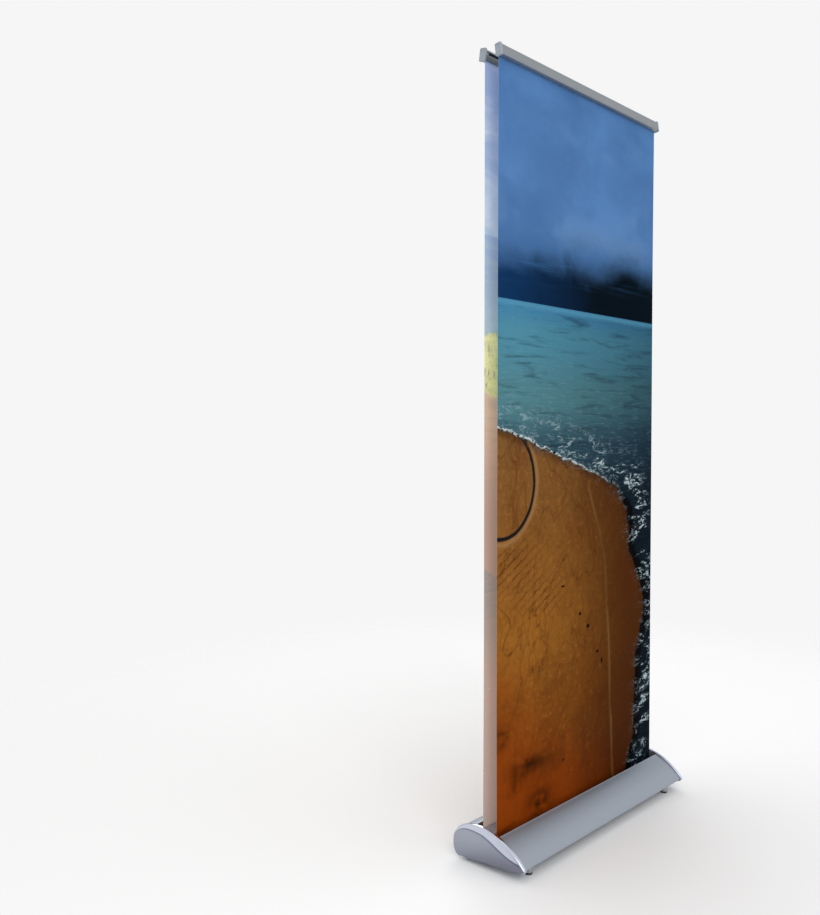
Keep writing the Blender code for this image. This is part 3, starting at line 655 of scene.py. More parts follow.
# %% Section helpers
def bezier(start, handle_a, handle_b, end, steps):
    """Points of a cubic curve without its last one, so that curves can follow each other."""
    points = []
    for i in range(steps):
        t = i / steps
        u = 1 - t
        weights = (u**3, 3 * u * u * t, 3 * u * t * t, t**3)
        corners = (start, handle_a, handle_b, end)
        points.append(tuple(sum(w * c[k] for w, c in zip(weights, corners)) for k in (0, 1)))
    return points


def arc(centre, radius, from_deg, to_deg, steps):
    """Points on a circle, both ends included."""
    turns = [math.radians(from_deg + (to_deg - from_deg) * i / steps) for i in range(steps + 1)]
    return [(centre[0] + radius * math.cos(t), centre[1] + radius * math.sin(t)) for t in turns]


def moved_in(outline, distance):
    """A clockwise closed outline, moved inwards."""
    moved = []
    count = len(outline)
    for i in range(count):
        before, here, after = (Vector(outline[(i + k) % count]) for k in (-1, 0, 1))
        normals = [Vector((d.y, -d.x)).normalized() for d in (here - before, after - here)]
        bisector = (normals[0] + normals[1]).normalized()
        moved.append(tuple(here + bisector * distance / max(0.5, bisector.dot(normals[0]))))
    return moved


def strip(path, thickness):
    """A closed section: a path, and the same path moved to its right by the thickness."""
    inner = []
    for i, point in enumerate(path):
        here = Vector(point)
        steps = []
        if i > 0:
            steps.append((here - Vector(path[i - 1])).normalized())
        if i < len(path) - 1:
            steps.append((Vector(path[i + 1]) - here).normalized())
        normals = [Vector((d.y, -d.x)) for d in steps]
        bisector = sum(normals, Vector((0, 0))).normalized()
        inner.append(tuple(here + bisector * thickness / max(0.5, bisector.dot(normals[0]))))
    return path + inner[::-1]


def height_on(outline, y, upper=True):
    """The height where an outline's upper or lower side crosses y."""
    found = []
    for (y0, z0), (y1, z1) in zip(outline, outline[1:] + outline[:1]):
        if min(y0, y1) <= y < max(y0, y1):
            found.append(z0 + (z1 - z0) * (y - y0) / (y1 - y0))
    return max(found) if upper else min(found)


TOE, CROWN, BACK, HEEL, SOLE = (-115.8, 37.0), (30.0, 107.3), (116.5, 46.0), (94.0, 9.5), (-103.0, 24.5)
OUTLINE = (
    bezier(TOE, (-81.0, 79.0), (-25.0, 107.3), CROWN, 44)
    + bezier(CROWN, (83.0, 107.3), (116.5, 85.0), BACK, 34)
    + bezier(BACK, (116.5, 24.0), (108.0, 8.6), HEEL, 20)
    + bezier(HEEL, (60.0, 12.1), (0.0, 16.7), SOLE, 6)
    + bezier(SOLE, (-111.5, 25.2), (-119.0, 32.0), TOE, 12)
)
SHELL = moved_in(OUTLINE, 3.5)
cap_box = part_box("left_end_cap")
print("outline points", len(OUTLINE), "deep", round(max(y for y, _ in OUTLINE) - min(y for y, _ in OUTLINE), 2),
      "cap deep", round((cap_box[1].y - cap_box[0].y) / MM, 2))


# %% Making and naming a piece
SHARP_EDGE = 32  # degrees: gentler edges are shaded smooth
MOULDED_EDGE = 40  # the same for plated and moulded pieces, which are rounder


def add_object(name, mesh, materials):
    made = bpy.data.objects.new(name, mesh)
    if not mesh.materials:
        for material in materials:
            mesh.materials.append(material)
    bpy.context.scene.collection.objects.link(made)
    return made


def to_mesh(name, shape):
    """A bmesh in metres as a mesh whose faces point outwards."""
    bmesh.ops.recalc_face_normals(shape, faces=shape.faces)
    mesh = bpy.data.meshes.new(name)
    shape.to_mesh(mesh)
    shape.free()
    return mesh


def to_object(name, mesh, *materials, sharp=SHARP_EDGE):
    """A mesh as an object, smooth except over edges sharper than the angle."""
    mesh.shade_smooth()
    mesh.set_sharp_from_angle(angle=math.radians(sharp))
    return add_object(name, mesh, materials)


def join_rings(shape, rings, closed=False):
    """Closed rings of points in metres, joined in turn: back to the first one, or with a face on each end."""
    rows = [[shape.verts.new(p) for p in ring] for ring in rings]
    for low_row, high_row in list(zip(rows, rows[1:])) + ([(rows[-1], rows[0])] if closed else []):
        for i in range(len(low_row)):
            j = (i + 1) % len(low_row)
            shape.faces.new((low_row[i], low_row[j], high_row[j], high_row[i]))
    if not closed:
        shape.faces.new(rows[0][::-1])
        shape.faces.new(rows[-1])


def stand_for(piece, body, slot, *nodes):
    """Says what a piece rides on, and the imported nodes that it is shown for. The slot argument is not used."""
    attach(piece, body)
    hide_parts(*nodes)
    print(piece.name, "faces", len(piece.data.polygons))


# %% [markdown]
# ## The printed sheets
#
# Each sheet is a taut polyester film, 0.4 mm thick here. It is two pieces that meet at 1.3 m: the lower one is wound
# in when the pole is lowered, so it flattens towards the roller, and the upper one stays out and rides on the rail.
# A grid of columns and rows, mirrored to the other face, makes a closed thin solid. The film isn't perfectly flat: it
# bows by less than a millimetre, and its long edges curl slightly towards the back. The bow is one formula of x and
# z, so that both pieces agree where they meet.

# %% Sheets
SPLIT_Z = 1.300  # where the two pieces of a sheet meet
SHEET_FOOT_Z = 0.049  # where the film leaves its roller
GRIP_DEPTH = 0.009  # how far it reaches into its rail
FILM = 0.0004
RAIL_TILT = math.radians(8)
SHEET_Y = {sheet: middle(f"{sheet}_graphic_lower").y for sheet in SHEETS}


def rail_point(sheet, outward, height):
    """(y, z) in metres of a point in a rail's own section: outward from its sheet and up from its mouth."""
    lean_cos, lean_sin = math.cos(RAIL_TILT), math.sin(RAIL_TILT)
    return (
        SHEET_Y[sheet] + SHEETS[sheet] * (outward * lean_cos - height * lean_sin),
        RAIL_MOUTH_Z + height * lean_cos + outward * lean_sin,
    )


def bow(x, z):
    """How far the film stands out of its flat plane: under 2 mm, and nothing near its two ends."""
    free = max(0.0, min(1.0, (z - 0.16) / 0.5)) * max(0.0, min(1.0, (2.03 - z) / 0.4))
    curl = -0.0011 * max(0.0, (abs(x) - 0.33) / 0.07) ** 2
    wave = 0.0005 * math.sin(3.1 * x + 1.3 * z) + 0.0003 * math.sin(7.0 * x - 2.2 * z + 1.0)
    return free * (curl + wave)


SHEET_ENDS = {"lower": (SHEET_FOOT_Z, SPLIT_Z), "upper": (SPLIT_Z, RAIL_MOUTH_Z)}
SHEET_ROWS = {"lower": 90, "upper": 60}
SHEET_COLUMNS = 64


def make_sheet(sheet, part, outer, inner):
    """Two faces of columns and rows, joined round their edges. The upper piece's last rows lie inside the rail."""
    facing = SHEETS[sheet]
    half = SHEET_WIDTH / 2
    columns = [half * (2 * i / SHEET_COLUMNS - 1) for i in range(SHEET_COLUMNS + 1)]
    start, end = SHEET_ENDS[part]
    count = SHEET_ROWS[part]
    heights = [start + (end - start) * i / count for i in range(count + 1)]
    shape = bmesh.new()
    faces = {}
    for name, offset in (("out", FILM / 2), ("in", -FILM / 2)):
        rows = []
        for z in heights:
            rows.append([shape.verts.new((x, SHEET_Y[sheet] + facing * (bow(x, z) + offset), z)) for x in columns])
        if part == "upper":
            for step in (0.5, 1.0):
                y, z = rail_point(sheet, offset, GRIP_DEPTH * step)
                rows.append([shape.verts.new((x, y, z)) for x in columns])
        faces[name] = rows
        for low_row, high_row in zip(rows, rows[1:]):
            for i in range(len(columns) - 1):
                face = shape.faces.new((low_row[i], low_row[i + 1], high_row[i + 1], high_row[i]))
                face.material_index = 0 if name == "out" else 1
    out, back = faces["out"], faces["in"]
    edges = [[row[0] for row in out], [row[-1] for row in out], out[0], out[-1]]
    backs = [[row[0] for row in back], [row[-1] for row in back], back[0], back[-1]]
    for edge, other in zip(edges, backs):
        for i in range(len(edge) - 1):
            shape.faces.new((edge[i], edge[i + 1], other[i + 1], other[i])).material_index = 1
    name = f"{sheet}_sheet_{part}"
    piece = to_object(name, to_mesh(name, shape), outer, inner)
    length = end - start + (GRIP_DEPTH if part == "upper" else 0.0)
    stand_for(piece, "base" if part == "lower" else "pole_top", "printed_film", f"{sheet}_graphic_{part}")
    if part == "lower":
        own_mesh(piece)
    rests = f"{sheet}_roller_tube" if part == "lower" else f"{sheet}_rail_body"


for part in ("lower", "upper"):
    make_sheet("front", part, FRONT_PRINT, FRONT_BACK)
    make_sheet("rear", part, REAR_PRINT, REAR_BACK)

# %% [markdown]
# ## Growing pieces with Geometry Nodes
#
# Extrusions, springs and fluted grips all follow a rule, so Geometry Nodes trees make them. `Recipe` builds one tree
# with named inputs. `grow` puts the tree on a source object, sets its inputs by their identifiers, evaluates it, and
# keeps the result as a plain mesh.


# %% The recipe helper
def smoothed(nodes, geometry, angle):
    """Shades geometry smooth, except over edges sharper than the angle."""
    faces = nodes.make("GeometryNodeSetShadeSmooth", {}, Geometry=geometry)
    bend = nodes.make("GeometryNodeInputMeshEdgeAngle")
    gentle = nodes.make("FunctionNodeCompare", {"operation": "LESS_THAN"}, A=bend, B=angle)
    named = {"Geometry": faces, "Shade Smooth": gentle}
    return nodes.make("GeometryNodeSetShadeSmooth", {"domain": "EDGE"}, **named)


class Recipe:
    """One Geometry Nodes tree with named inputs, which ends in realised geometry with one material."""

    def __init__(self, name, **inputs):
        self.tree = bpy.data.node_groups.new(name, "GeometryNodeTree")
        face = self.tree.interface
        face.new_socket("Geometry", in_out="INPUT", socket_type="NodeSocketGeometry")
        self.ids = {}
        for label, value in {**inputs, "material": None}.items():
            kinds = {float: "NodeSocketFloat", int: "NodeSocketInt", type(None): "NodeSocketMaterial"}
            socket = face.new_socket(label, in_out="INPUT", socket_type=kinds[type(value)])
            if value is not None:
                socket.default_value = value
            self.ids[label] = socket.identifier
        face.new_socket("Geometry", in_out="OUTPUT", socket_type="NodeSocketGeometry")
        self.math = Nodes(self.tree)
        self.source = self.tree.nodes.new("NodeGroupInput")

    def given(self, label):
        return Value(self.math, self.source.outputs[label])

    def make(self, kind, settings=None, output=0, **sockets):
        return self.math.make(kind, settings, output=output, **sockets)

    def vector(self, x=0.0, y=0.0, z=0.0):
        return self.math.make("ShaderNodeCombineXYZ", {}, x, y, z)

    def close(self, geometry, smooth_angle=SHARP_EDGE):
        """Realises what was made, shades it smooth except over sharp edges, and gives it its material."""
        real = self.make("GeometryNodeRealizeInstances", Geometry=geometry)
        shaded = smoothed(self.math, real, math.radians(smooth_angle))
        painted = self.make("GeometryNodeSetMaterial", Geometry=shaded, Material=self.given("material"))
        self.math.feed(self.tree.nodes.new("NodeGroupOutput"), {0: painted})
        return self


def grow(name, source_data, recipe, material, **inputs):
    """Runs a recipe on a mesh or curve and returns the plain object that it grew."""
    source = bpy.data.objects.new("source", source_data)
    bpy.context.scene.collection.objects.link(source)
    modifier = source.modifiers.new("grow", "NODES")
    modifier.node_group = recipe.tree
    modifier[recipe.ids["material"]] = material
    for label, value in inputs.items():
        modifier[recipe.ids[label]] = value
    seen = source.evaluated_get(bpy.context.evaluated_depsgraph_get())
    mesh = bpy.data.meshes.new_from_object(seen)
    mesh.name = name
    bpy.data.objects.remove(source)
    return add_object(name, mesh, [material])


def section_curve(section):
    """A closed section in millimetres as a curve in the XY plane, in metres."""
    curve = bpy.data.curves.new("section", "CURVE")
    curve.dimensions = "3D"
    spline = curve.splines.new("POLY")
    spline.points.add(len(section) - 1)
    spline.use_cyclic_u = True
    for point, (y, z) in zip(spline.points, section):
        point.co = (y * MM, z * MM, 0.0, 1.0)
    return curve


def anticlockwise(section):
    """The section in the turning sense that makes its extrusion face outwards."""
    area = sum(a[0] * b[1] - b[0] * a[1] for a, b in zip(section, section[1:] + section[:1]))
    return section if area > 0 else section[::-1]


def extrusion_recipe():
    """Sweeps a section along a straight line, then turns the line to lie along X."""
    recipe = Recipe("extrusion", start=-0.4, end=0.4)
    start, end = recipe.vector(z=recipe.given("start")), recipe.vector(z=recipe.given("end"))
    line = recipe.make("GeometryNodeCurvePrimitiveLine", Start=start, End=end)
    named = {"Curve": line, "Profile Curve": recipe.given("Geometry"), "Fill Caps": True}
    swept = recipe.make("GeometryNodeCurveToMesh", **named)
    turn = (math.pi / 2, 0.0, math.pi / 2)
    laid = recipe.make("GeometryNodeTransform", Geometry=swept, Rotation=turn)
    return recipe.close(laid)


EXTRUSION = extrusion_recipe()


def extrude(name, section, half_length, material):
    """An extrusion along X, as far to the left of the middle as to the right."""
    curve = section_curve(anticlockwise(section))
    return grow(name, curve, EXTRUSION, material, start=-half_length * MM, end=half_length * MM)


# %% [markdown]
# ## The base's extrusions
#
# The front cover and the rear shell are aluminium sheets of 2 mm with smooth die-drawn curves. Each ends in a lip
# that turns down into its slot. The front cover has a small step above its toe, as the real one has, so that a light
# falls along it. The bridge between the slots is a flat strip with two shallow grooves.

# %% Cover, rear shell and bridge
EXTRUSION_END = 411.0
FRONT_CREST_Y, REAR_CREST_Y = -27.5, 48.5
WALL, LIP_RADIUS, LIP_DROP = 2.0, 2.3, 14.0
FRONT_FOOT_Y, REAR_FOOT_Y = -94.0, 94.0  # where each skin ends under the base


def front_cover_section():
    crest_z = height_on(SHELL, FRONT_CREST_Y)
    toe_side = [p for p in SHELL if p[0] < -98.0 and p[1] < 35.0]
    slope = [p for p in SHELL if p[0] < FRONT_CREST_Y - 2.5 and p[1] >= 35.0]
    under = [(FRONT_FOOT_Y, height_on(SHELL, FRONT_FOOT_Y, upper=False))]
    path = under + sorted(toe_side, key=lambda p: p[1]) + sorted(slope)
    lip = arc((FRONT_CREST_Y - 2.0, crest_z - LIP_RADIUS), LIP_RADIUS, 80, 4, 5)
    return strip(path + lip + [(FRONT_CREST_Y + 0.8, crest_z - LIP_DROP)], WALL)


def rear_shell_section():
    crest_z = height_on(SHELL, REAR_CREST_Y)
    back = [p for p in SHELL if p[0] > REAR_CREST_Y + 2.5 and (p[1] > 20.0 or p[0] > 95.0)]
    lip = arc((REAR_CREST_Y + 2.0, crest_z - LIP_RADIUS), LIP_RADIUS, 176, 100, 5)
    path = [(REAR_CREST_Y - 0.8, crest_z - LIP_DROP)] + lip + back
    return strip(path + [(REAR_FOOT_Y, height_on(SHELL, REAR_FOOT_Y, upper=False))], WALL)


def bridge_section():
    """The strip over the webs: rounded shoulders, two grooves on top, and a leg into each slot."""
    low_y, high_y, low_z, high_z, leg_z = -8.5, 29.5, 95.6, 98.0, 83.6
    top = arc((low_y + 1.0, high_z - 1.0), 1.0, 180, 90, 4)
    for groove in (-3.0, 24.0):
        top += [(groove + across, high_z - deep) for across, deep in ((-0.6, 0), (-0.3, 0.5), (0.3, 0.5), (0.6, 0))]
    top += arc((high_y - 1.0, high_z - 1.0), 1.0, 90, 0, 4)
    inner_low, inner_high = low_y + WALL, high_y - WALL
    inside = [(high_y, leg_z), (inner_high, leg_z), (inner_high, low_z), (inner_low, low_z), (inner_low, leg_z)]
    return [(low_y, leg_z)] + top + inside


def cut_round_hole(piece, centre, radius, low_z, high_z, sides=48):
    """Cuts an upright round hole through a finished piece."""
    shape = bmesh.new()
    bmesh.ops.create_cone(shape, cap_ends=True, segments=sides, radius1=radius, radius2=radius, depth=high_z - low_z)
    bmesh.ops.translate(shape, vec=(centre[0], centre[1], (low_z + high_z) / 2), verts=shape.verts)
    cutter = add_object("cutter", to_mesh("cutter", shape), [])
    modifier = piece.modifiers.new("hole", "BOOLEAN")
    modifier.operation, modifier.object, modifier.solver = "DIFFERENCE", cutter, "EXACT"
    mesh = bpy.data.meshes.new_from_object(piece.evaluated_get(bpy.context.evaluated_depsgraph_get()))
    piece.modifiers.clear()
    piece.data = mesh
    mesh.set_sharp_from_angle(angle=math.radians(SHARP_EDGE))
    bpy.data.objects.remove(cutter)


cover = extrude("front_cover_skin", front_cover_section(), EXTRUSION_END, ALUMINIUM_X)
stand_for(cover, "base", "anodised_aluminium", "front_cover")
shell = extrude("rear_shell_skin", rear_shell_section(), EXTRUSION_END, ALUMINIUM_X)
stand_for(shell, "base", "anodised_aluminium", "rear_shell")
# The bridge gets the lighter aluminium, painted light for its shaded place between the sheets.
bridge = extrude("bridge_strip", bridge_section(), EXTRUSION_END, ALUMINIUM_BRIDGE_PAINTED_LIGHT)
cut_round_hole(bridge, middle("pole_lower_tube"), radius=0.0104, low_z=0.09, high_z=0.11)
stand_for(bridge, "base", "anodised_aluminium", "slot_bridge")

# %% [markdown]
# ## The end caps
#
# Each cap is a plated moulding: a bright rounded rim that stands proud of the extrusions, a face that sinks inwards
# from it, and a satin comma-shaped panel that rises again below an S-shaped ridge. Face and panel are rings of
# points, each ring drawn a little nearer to a spine inside the outline, with a height for each ring: this gives
# clean strips of faces that follow the outline, where a boolean would leave slivers.

# %% End caps
CAP_FACE_X = 422.5
CAP_OUTER_X = 425.0
FACE_SPINE = (Vector((-76.0, 38.0)), Vector((70.0, 56.0)))
PANEL_SPINE = (Vector((-88.0, 31.0)), Vector((72.0, 48.0)))


def toward_spine(outline, spine, share):
    """The outline drawn towards the nearest point of a spine by a share of the way."""
    start, end = spine
    along = end - start
    drawn = []
    for point in outline:
        here = Vector(point)
        t = max(0.0, min(1.0, (here - start).dot(along) / along.length_squared))
        drawn.append(tuple(here.lerp(start + along * t, share)))
    return drawn


def ring_at(outline, x, side):
    return [(side * x * MM, y * MM, z * MM) for y, z in outline]


def cap_rings(side):
    """The rim with its rounded edges, the sunk face, and the hollow inside."""
    floor_x, inner_x, edge = CAP_FACE_X - 3.0, CAP_FACE_X - 10.0, 3.0
    steps = [(floor_x, 3.0), (inner_x, 3.0), (inner_x, 1.0)]
    steps += [(inner_x + 1.0 + 1.0 * math.sin(t), 1.0 - 1.0 * math.cos(t)) for t in (-1.2, -0.8, -0.4, 0.0)]
    steps += [(inner_x + 4.0, 0.0), (CAP_FACE_X - edge, 0.0)]
    turns = (0.26, 0.52, 0.79, 1.05, 1.31)
    steps += [(CAP_FACE_X - edge + edge * math.sin(t), edge * (1 - math.cos(t))) for t in turns]
    steps += [(CAP_FACE_X, edge), (CAP_FACE_X - 0.1, edge + 0.5)]
    rings = [ring_at(moved_in(OUTLINE, inset), x, side) for x, inset in steps]
    face = moved_in(OUTLINE, edge + 0.5)
    for share, sunk in ((0.04, 0.35), (0.10, 0.8), (0.2, 1.4), (0.32, 1.9), (0.46, 2.2), (0.6, 2.3)):
        rings.append(ring_at(toward_spine(face, FACE_SPINE, share), CAP_FACE_X - sunk, side))
    return rings


def comma_panel():
    """The raised panel: an S-shaped upper edge, and the cap's own outline below it."""
    edge = moved_in(OUTLINE, 1.6)
    rear, shoulder, toe = (107.5, 71.0), (20.0, 84.5), (-107.0, 40.5)
    upper = bezier(rear, (92.0, 90.0), (52.0, 91.5), shoulder, 26)
    upper += bezier(shoulder, (-22.0, 73.0), (-28.0, 55.0), toe, 34) + [toe]
    lower = [p for p in edge if p[1] < 38.0 or (p[0] > 100.0 and p[1] < 66.0)]
    toe_part = sorted((p for p in lower if p[0] < -95.0), key=lambda p: -p[1])
    heel_part = sorted((p for p in lower if p[0] > -95.0), key=lambda p: (p[1] if p[0] > 95.0 else p[0] / 100))
    return upper + toe_part + heel_part


def panel_rings(side):
    """The panel's wall, its rounded edge, and a face that swells a little towards its middle."""
    outline = comma_panel()[::-1]
    rings = [ring_at(outline, CAP_FACE_X - 2.6, side)]
    fillet, swell = 1.3, 0.7
    for t in (0.0, 0.35, 0.7, 1.05, 1.4):
        inset = fillet * (1 - math.cos(t))
        x = CAP_OUTER_X - swell - fillet + fillet * math.sin(t)
        rings.append(ring_at(moved_in(outline, inset), x, side))
    inner = moved_in(outline, fillet)
    for step in (0.1, 0.2, 0.32, 0.46, 0.6, 0.74, 0.87, 1.0):
        x = CAP_OUTER_X - swell * (1 - step) ** 3
        rings.append(ring_at(toward_spine(inner, PANEL_SPINE, 0.55 * step), x, side))
    return rings


for end, side in SIDES.items():
    for part, rings, finish in (("shell", cap_rings(side), CHROME), ("panel", panel_rings(side), SATIN_CHROME)):
        shape = bmesh.new()
        join_rings(shape, rings)
        name = f"{end}_cap_{part}"
        piece = to_object(name, to_mesh(name, shape), finish, sharp=MOULDED_EDGE)
        stand_for(piece, "base", "chrome_plating", f"{end}_end_cap")

# %% [markdown]
# ## The top rails
#
# A snap rail is two extrusions: a body with a channel for the pole's hook, and a jaw that turns on the body's round
# bead and clamps the film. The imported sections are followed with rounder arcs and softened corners. The moulded
# caps at the ends get a bevel all round, which carries the light line that shows a cap from a plain block.

# %% Rails and their caps
BEAD = (10.0, 25.2)
RAIL_END = 400.0


def rail_section(sheet, points):
    return [tuple(value / MM for value in rail_point(sheet, o * MM, h * MM)) for o, h in points]


def rounded(corners, radii, steps=3):
    """A closed path whose corners are cut by short curves. A radius is how far a cut starts from its corner."""
    path = []
    for i, corner in enumerate(corners):
        here = Vector(corner)
        before, after = Vector(corners[i - 1]), Vector(corners[(i + 1) % len(corners)])
        start = here + (before - here).normalized() * radii[i]
        end = here + (after - here).normalized() * radii[i]
        for k in range(steps + 1):
            t = k / steps
            path.append(tuple(start * (1 - t) ** 2 + here * 2 * t * (1 - t) + end * t * t))
    return path


def rail_body_section():
    body = [(-3, 0), (-0.6, 0), (-0.6, 13.2), (5.6, 13.2), (6.0, 13.6), (6.0, 24.0)]
    body += arc(BEAD, 2.0, 205, 510, 26)
    body += [(7.0, 27.4), (-2.4, 27.4), (-2.8, 27.2), (-3, 26.8), (-3, 23), (-1, 23), (-1, 25.4), (4.2, 25.4)]
    return body + [(4.2, 15), (-1, 15), (-1, 16), (-3, 16)]


def rail_jaw_section():
    """The snap-on front of a rail; its outer face carries two fine grooves."""
    jaw = arc(BEAD, 4.0, 80, 0, 12)
    for groove in (21.0, 4.6):
        jaw += [(14.0, groove + 0.5), (13.7, groove + 0.2), (13.7, groove - 0.2), (14.0, groove - 0.5)]
    jaw += [(14.0, 1.2), (13.8, 0.7), (13.5, 0.35), (13.0, 0.2), (0.8, 0.2), (0.6, 0.4), (0.6, 2.6), (2.2, 2.6)]
    jaw += [(2.2, 2.0), (12.2, 2.0)]
    return jaw + arc(BEAD, 4.0, -57, -115, 8) + arc(BEAD, 2.35, -115, 80, 22)


def rail_cap(sheet, side):
    """A moulded block with rounded corners, a bevel on both faces, and a tongue into the channel."""
    corners = [(-4.0, -1.8), (15.0, -1.8), (15.0, 31.2), (-4.0, 31.2)]
    inner, outer = RAIL_END + 0.4, RAIL_END + 7.4
    shape = bmesh.new()
    rings = []
    for x, inset in ((inner, 0.5), (inner + 0.5, 0.0), (outer - 1.4, 0.0), (outer - 0.75, 0.18), (outer - 0.2, 0.65),
                     (outer, 1.3), (outer, 3.0), (outer - 0.35, 3.4), (outer - 0.4, 6.0)):
        ring = [(o + (inset if o < 5 else -inset), h + (inset if h < 10 else -inset)) for o, h in corners]
        path = rounded(ring, [max(0.6, 3.4 - inset)] * 4, steps=6)
        rings.append([(side * x * MM, y * MM, z * MM) for y, z in rail_section(sheet, path)])
    join_rings(shape, rings)
    tongue = [(-0.6, 15.4), (3.8, 15.4), (3.8, 25.0), (-0.6, 25.0)]
    spots = rail_section(sheet, rounded(tongue, [0.5] * 4, steps=2))
    join_rings(shape, [[(side * x * MM, y * MM, z * MM) for y, z in spots] for x in (inner - 12.0, inner + 0.6)])
    return shape


for sheet in SHEETS:
    body = extrude(f"{sheet}_rail_channel", rail_section(sheet, rail_body_section()), RAIL_END, ALUMINIUM_RAIL)
    stand_for(body, "pole_top", "anodised_aluminium", f"{sheet}_rail_body")
    jaw = extrude(f"{sheet}_rail_snap", rail_section(sheet, rail_jaw_section()), RAIL_END, ALUMINIUM_RAIL)
    stand_for(jaw, f"{sheet}_jaw", "anodised_aluminium", f"{sheet}_rail_jaw")
    for name, side in SIDES.items():
        mesh = to_mesh(f"{sheet}_rail_end_{name}", rail_cap(sheet, side))
        cap = to_object(f"{sheet}_rail_end_{name}", mesh, CAP_PLASTIC, sharp=MOULDED_EDGE)
        stand_for(cap, "pole_top", "rail_cap_plastic", f"{sheet}_rail_cap_{name}")

# %% [markdown]
# ## Grips and springs
#
# The twist locks have eight wide flutes for the fingers, and the levelling screws have a fine knurl. Both are turned
# bodies whose side is pushed in along a repeating wave, so one Geometry Nodes tree makes both: it moves each point
# of a plainly turned mesh towards the axis, by a depth that follows the angle and fades out near both ends. The
# torsion springs inside the rollers are a spiral swept by a round wire.


# %% Turned bodies
def turned_mesh(name, profile, centre, sides, closed=True):
    """Turns (radius, height) points in metres about an upright line through centre."""
    shape = bmesh.new()
    rings = []
    for radius, height in profile:
        turns = [2 * math.pi * i / sides for i in range(sides)]
        rings.append([(centre.x + radius * math.cos(t), centre.y + radius * math.sin(t), height) for t in turns])
    join_rings(shape, rings, closed=closed)
    return to_mesh(name, shape)


def fluting_recipe():
    """Pushes the outside of a turned body in along a wave around its axis."""
    named = {"axis x": 0.0, "axis y": 0.0, "least radius": 0.012, "flutes": 8, "depth": 0.001, "sharpness": 2.0,
             "bottom": 0.0, "top": 0.04, "fade": 0.004}
    recipe = Recipe("fluting", **named)
    place = recipe.make("GeometryNodeInputPosition")
    x, y, z = recipe.math.xyz(place)
    x, y = x - recipe.given("axis x"), y - recipe.given("axis y")
    radius = (x * x + y * y) ** 0.5
    angle = y.math("ARCTAN2", x)
    wave = ((angle * recipe.given("flutes")).math("COSINE") * 0.5 + 0.5) ** recipe.given("sharpness")
    low_end, high_end, fade = recipe.given("bottom"), recipe.given("top"), recipe.given("fade")
    rise = ((z - low_end) / fade).at_least(0.0).at_most(1.0)
    fall = ((high_end - z) / fade).at_least(0.0).at_most(1.0)
    outside = radius.math("GREATER_THAN", recipe.given("least radius"))
    push = wave * rise * fall * outside * recipe.given("depth") / radius * -1.0
    offset = recipe.vector(x * push, y * push)
    moved = recipe.make("GeometryNodeSetPosition", Geometry=recipe.given("Geometry"), Offset=offset)
    return recipe.close(moved, smooth_angle=38.0)


FLUTING = fluting_recipe()

# %% Twist locks
GRIP_RADIUS = 0.0140
BORE_STEP = 0.0226  # how far up a lock its bore narrows to the thinner tube

for name, body in (("lower_lock_collar", "lower_lock"), ("upper_lock_collar", "upper_lock")):
    centre, low_z, high_z = middle(name), low(name).z, high(name).z
    outer_bore, inner_bore = (0.0100, 0.0089) if name.startswith("lower") else (0.0089, 0.0078)
    side = [(0.0122, low_z), (0.0128, low_z + 0.0005), (0.0136, low_z + 0.0015), (GRIP_RADIUS, low_z + 0.0028)]
    side += [(GRIP_RADIUS, low_z + 0.0028 + 0.0286 * i / 22) for i in range(1, 23)]
    side += [(GRIP_RADIUS, high_z - 0.0066), (0.0138, high_z - 0.0058), (0.0133, high_z - 0.0045)]
    side += [(0.0122, high_z - 0.0013), (0.0117, high_z - 0.0003), (0.0112, high_z)]
    step_z = low_z + BORE_STEP
    side += [(inner_bore, high_z), (inner_bore, step_z), (outer_bore, step_z), (outer_bore, low_z)]
    mesh = turned_mesh(f"{name}_plain", side, centre, 128)
    sizes = {"axis x": centre.x, "axis y": centre.y, "least radius": 0.0126, "flutes": 8, "depth": 0.0014,
             "sharpness": 2.2, "bottom": low_z + 0.003, "top": high_z - 0.006, "fade": 0.005}
    lock = grow(f"{name}_grip", mesh, FLUTING, NYLON, **sizes)
    stand_for(lock, body, "grey_nylon", name)

# %% Levelling screws and their pads
KNURL_RADIUS = 0.0100
THREAD_CREST, THREAD_ROOT, THREAD_PITCH = 0.0040, 0.0034, 0.00125
NEAR_AXIS = 0.0002  # a turned body's end faces stop this far from its axis
COLLAR_TOPS = {"front": 0.021, "rear": 0.0105}

FEET = [name.replace("foot_screw_", "") for name in NODES if name.startswith("foot_screw")]
for place in FEET:
    name = f"foot_screw_{place}"
    centre, low_z, high_z = middle(name), low(name).z, high(name).z
    collar_top = COLLAR_TOPS[place.split("_")[0]]
    side = [(NEAR_AXIS, low_z), (0.0090, low_z), (0.0096, low_z + 0.0003), (KNURL_RADIUS, low_z + 0.0009)]
    side += [(KNURL_RADIUS, low_z + 0.0009 + (collar_top - 0.0018 - low_z) * i / 6) for i in range(1, 7)]
    side += [(0.0096, collar_top - 0.0003), (0.0090, collar_top), (0.0044, collar_top)]
    side += [(THREAD_CREST, collar_top + 0.0004)]
    turns = int((high_z - 0.0012 - collar_top - 0.0004) / THREAD_PITCH)
    for k in range(turns):
        foot = collar_top + 0.0006 + THREAD_PITCH * k
        side += [(THREAD_CREST, foot), (THREAD_CREST, foot + THREAD_PITCH * 0.2)]
        side += [(THREAD_ROOT, foot + THREAD_PITCH * 0.6)]
    side += [(0.0036, high_z - 0.0005), (0.0030, high_z), (NEAR_AXIS, high_z)]
    mesh = turned_mesh(f"{name}_plain", side, centre, 120, closed=False)
    sizes = {"axis x": centre.x, "axis y": centre.y, "least radius": 0.0098, "flutes": 30, "depth": 0.0005,
             "sharpness": 1.0, "bottom": low_z + 0.0008, "top": collar_top - 0.0008, "fade": 0.0008}
    screw = grow(f"level_screw_{place}", mesh, FLUTING, ZINC, **sizes)
    stand_for(screw, f"{place}_screw", "zinc_steel", name)


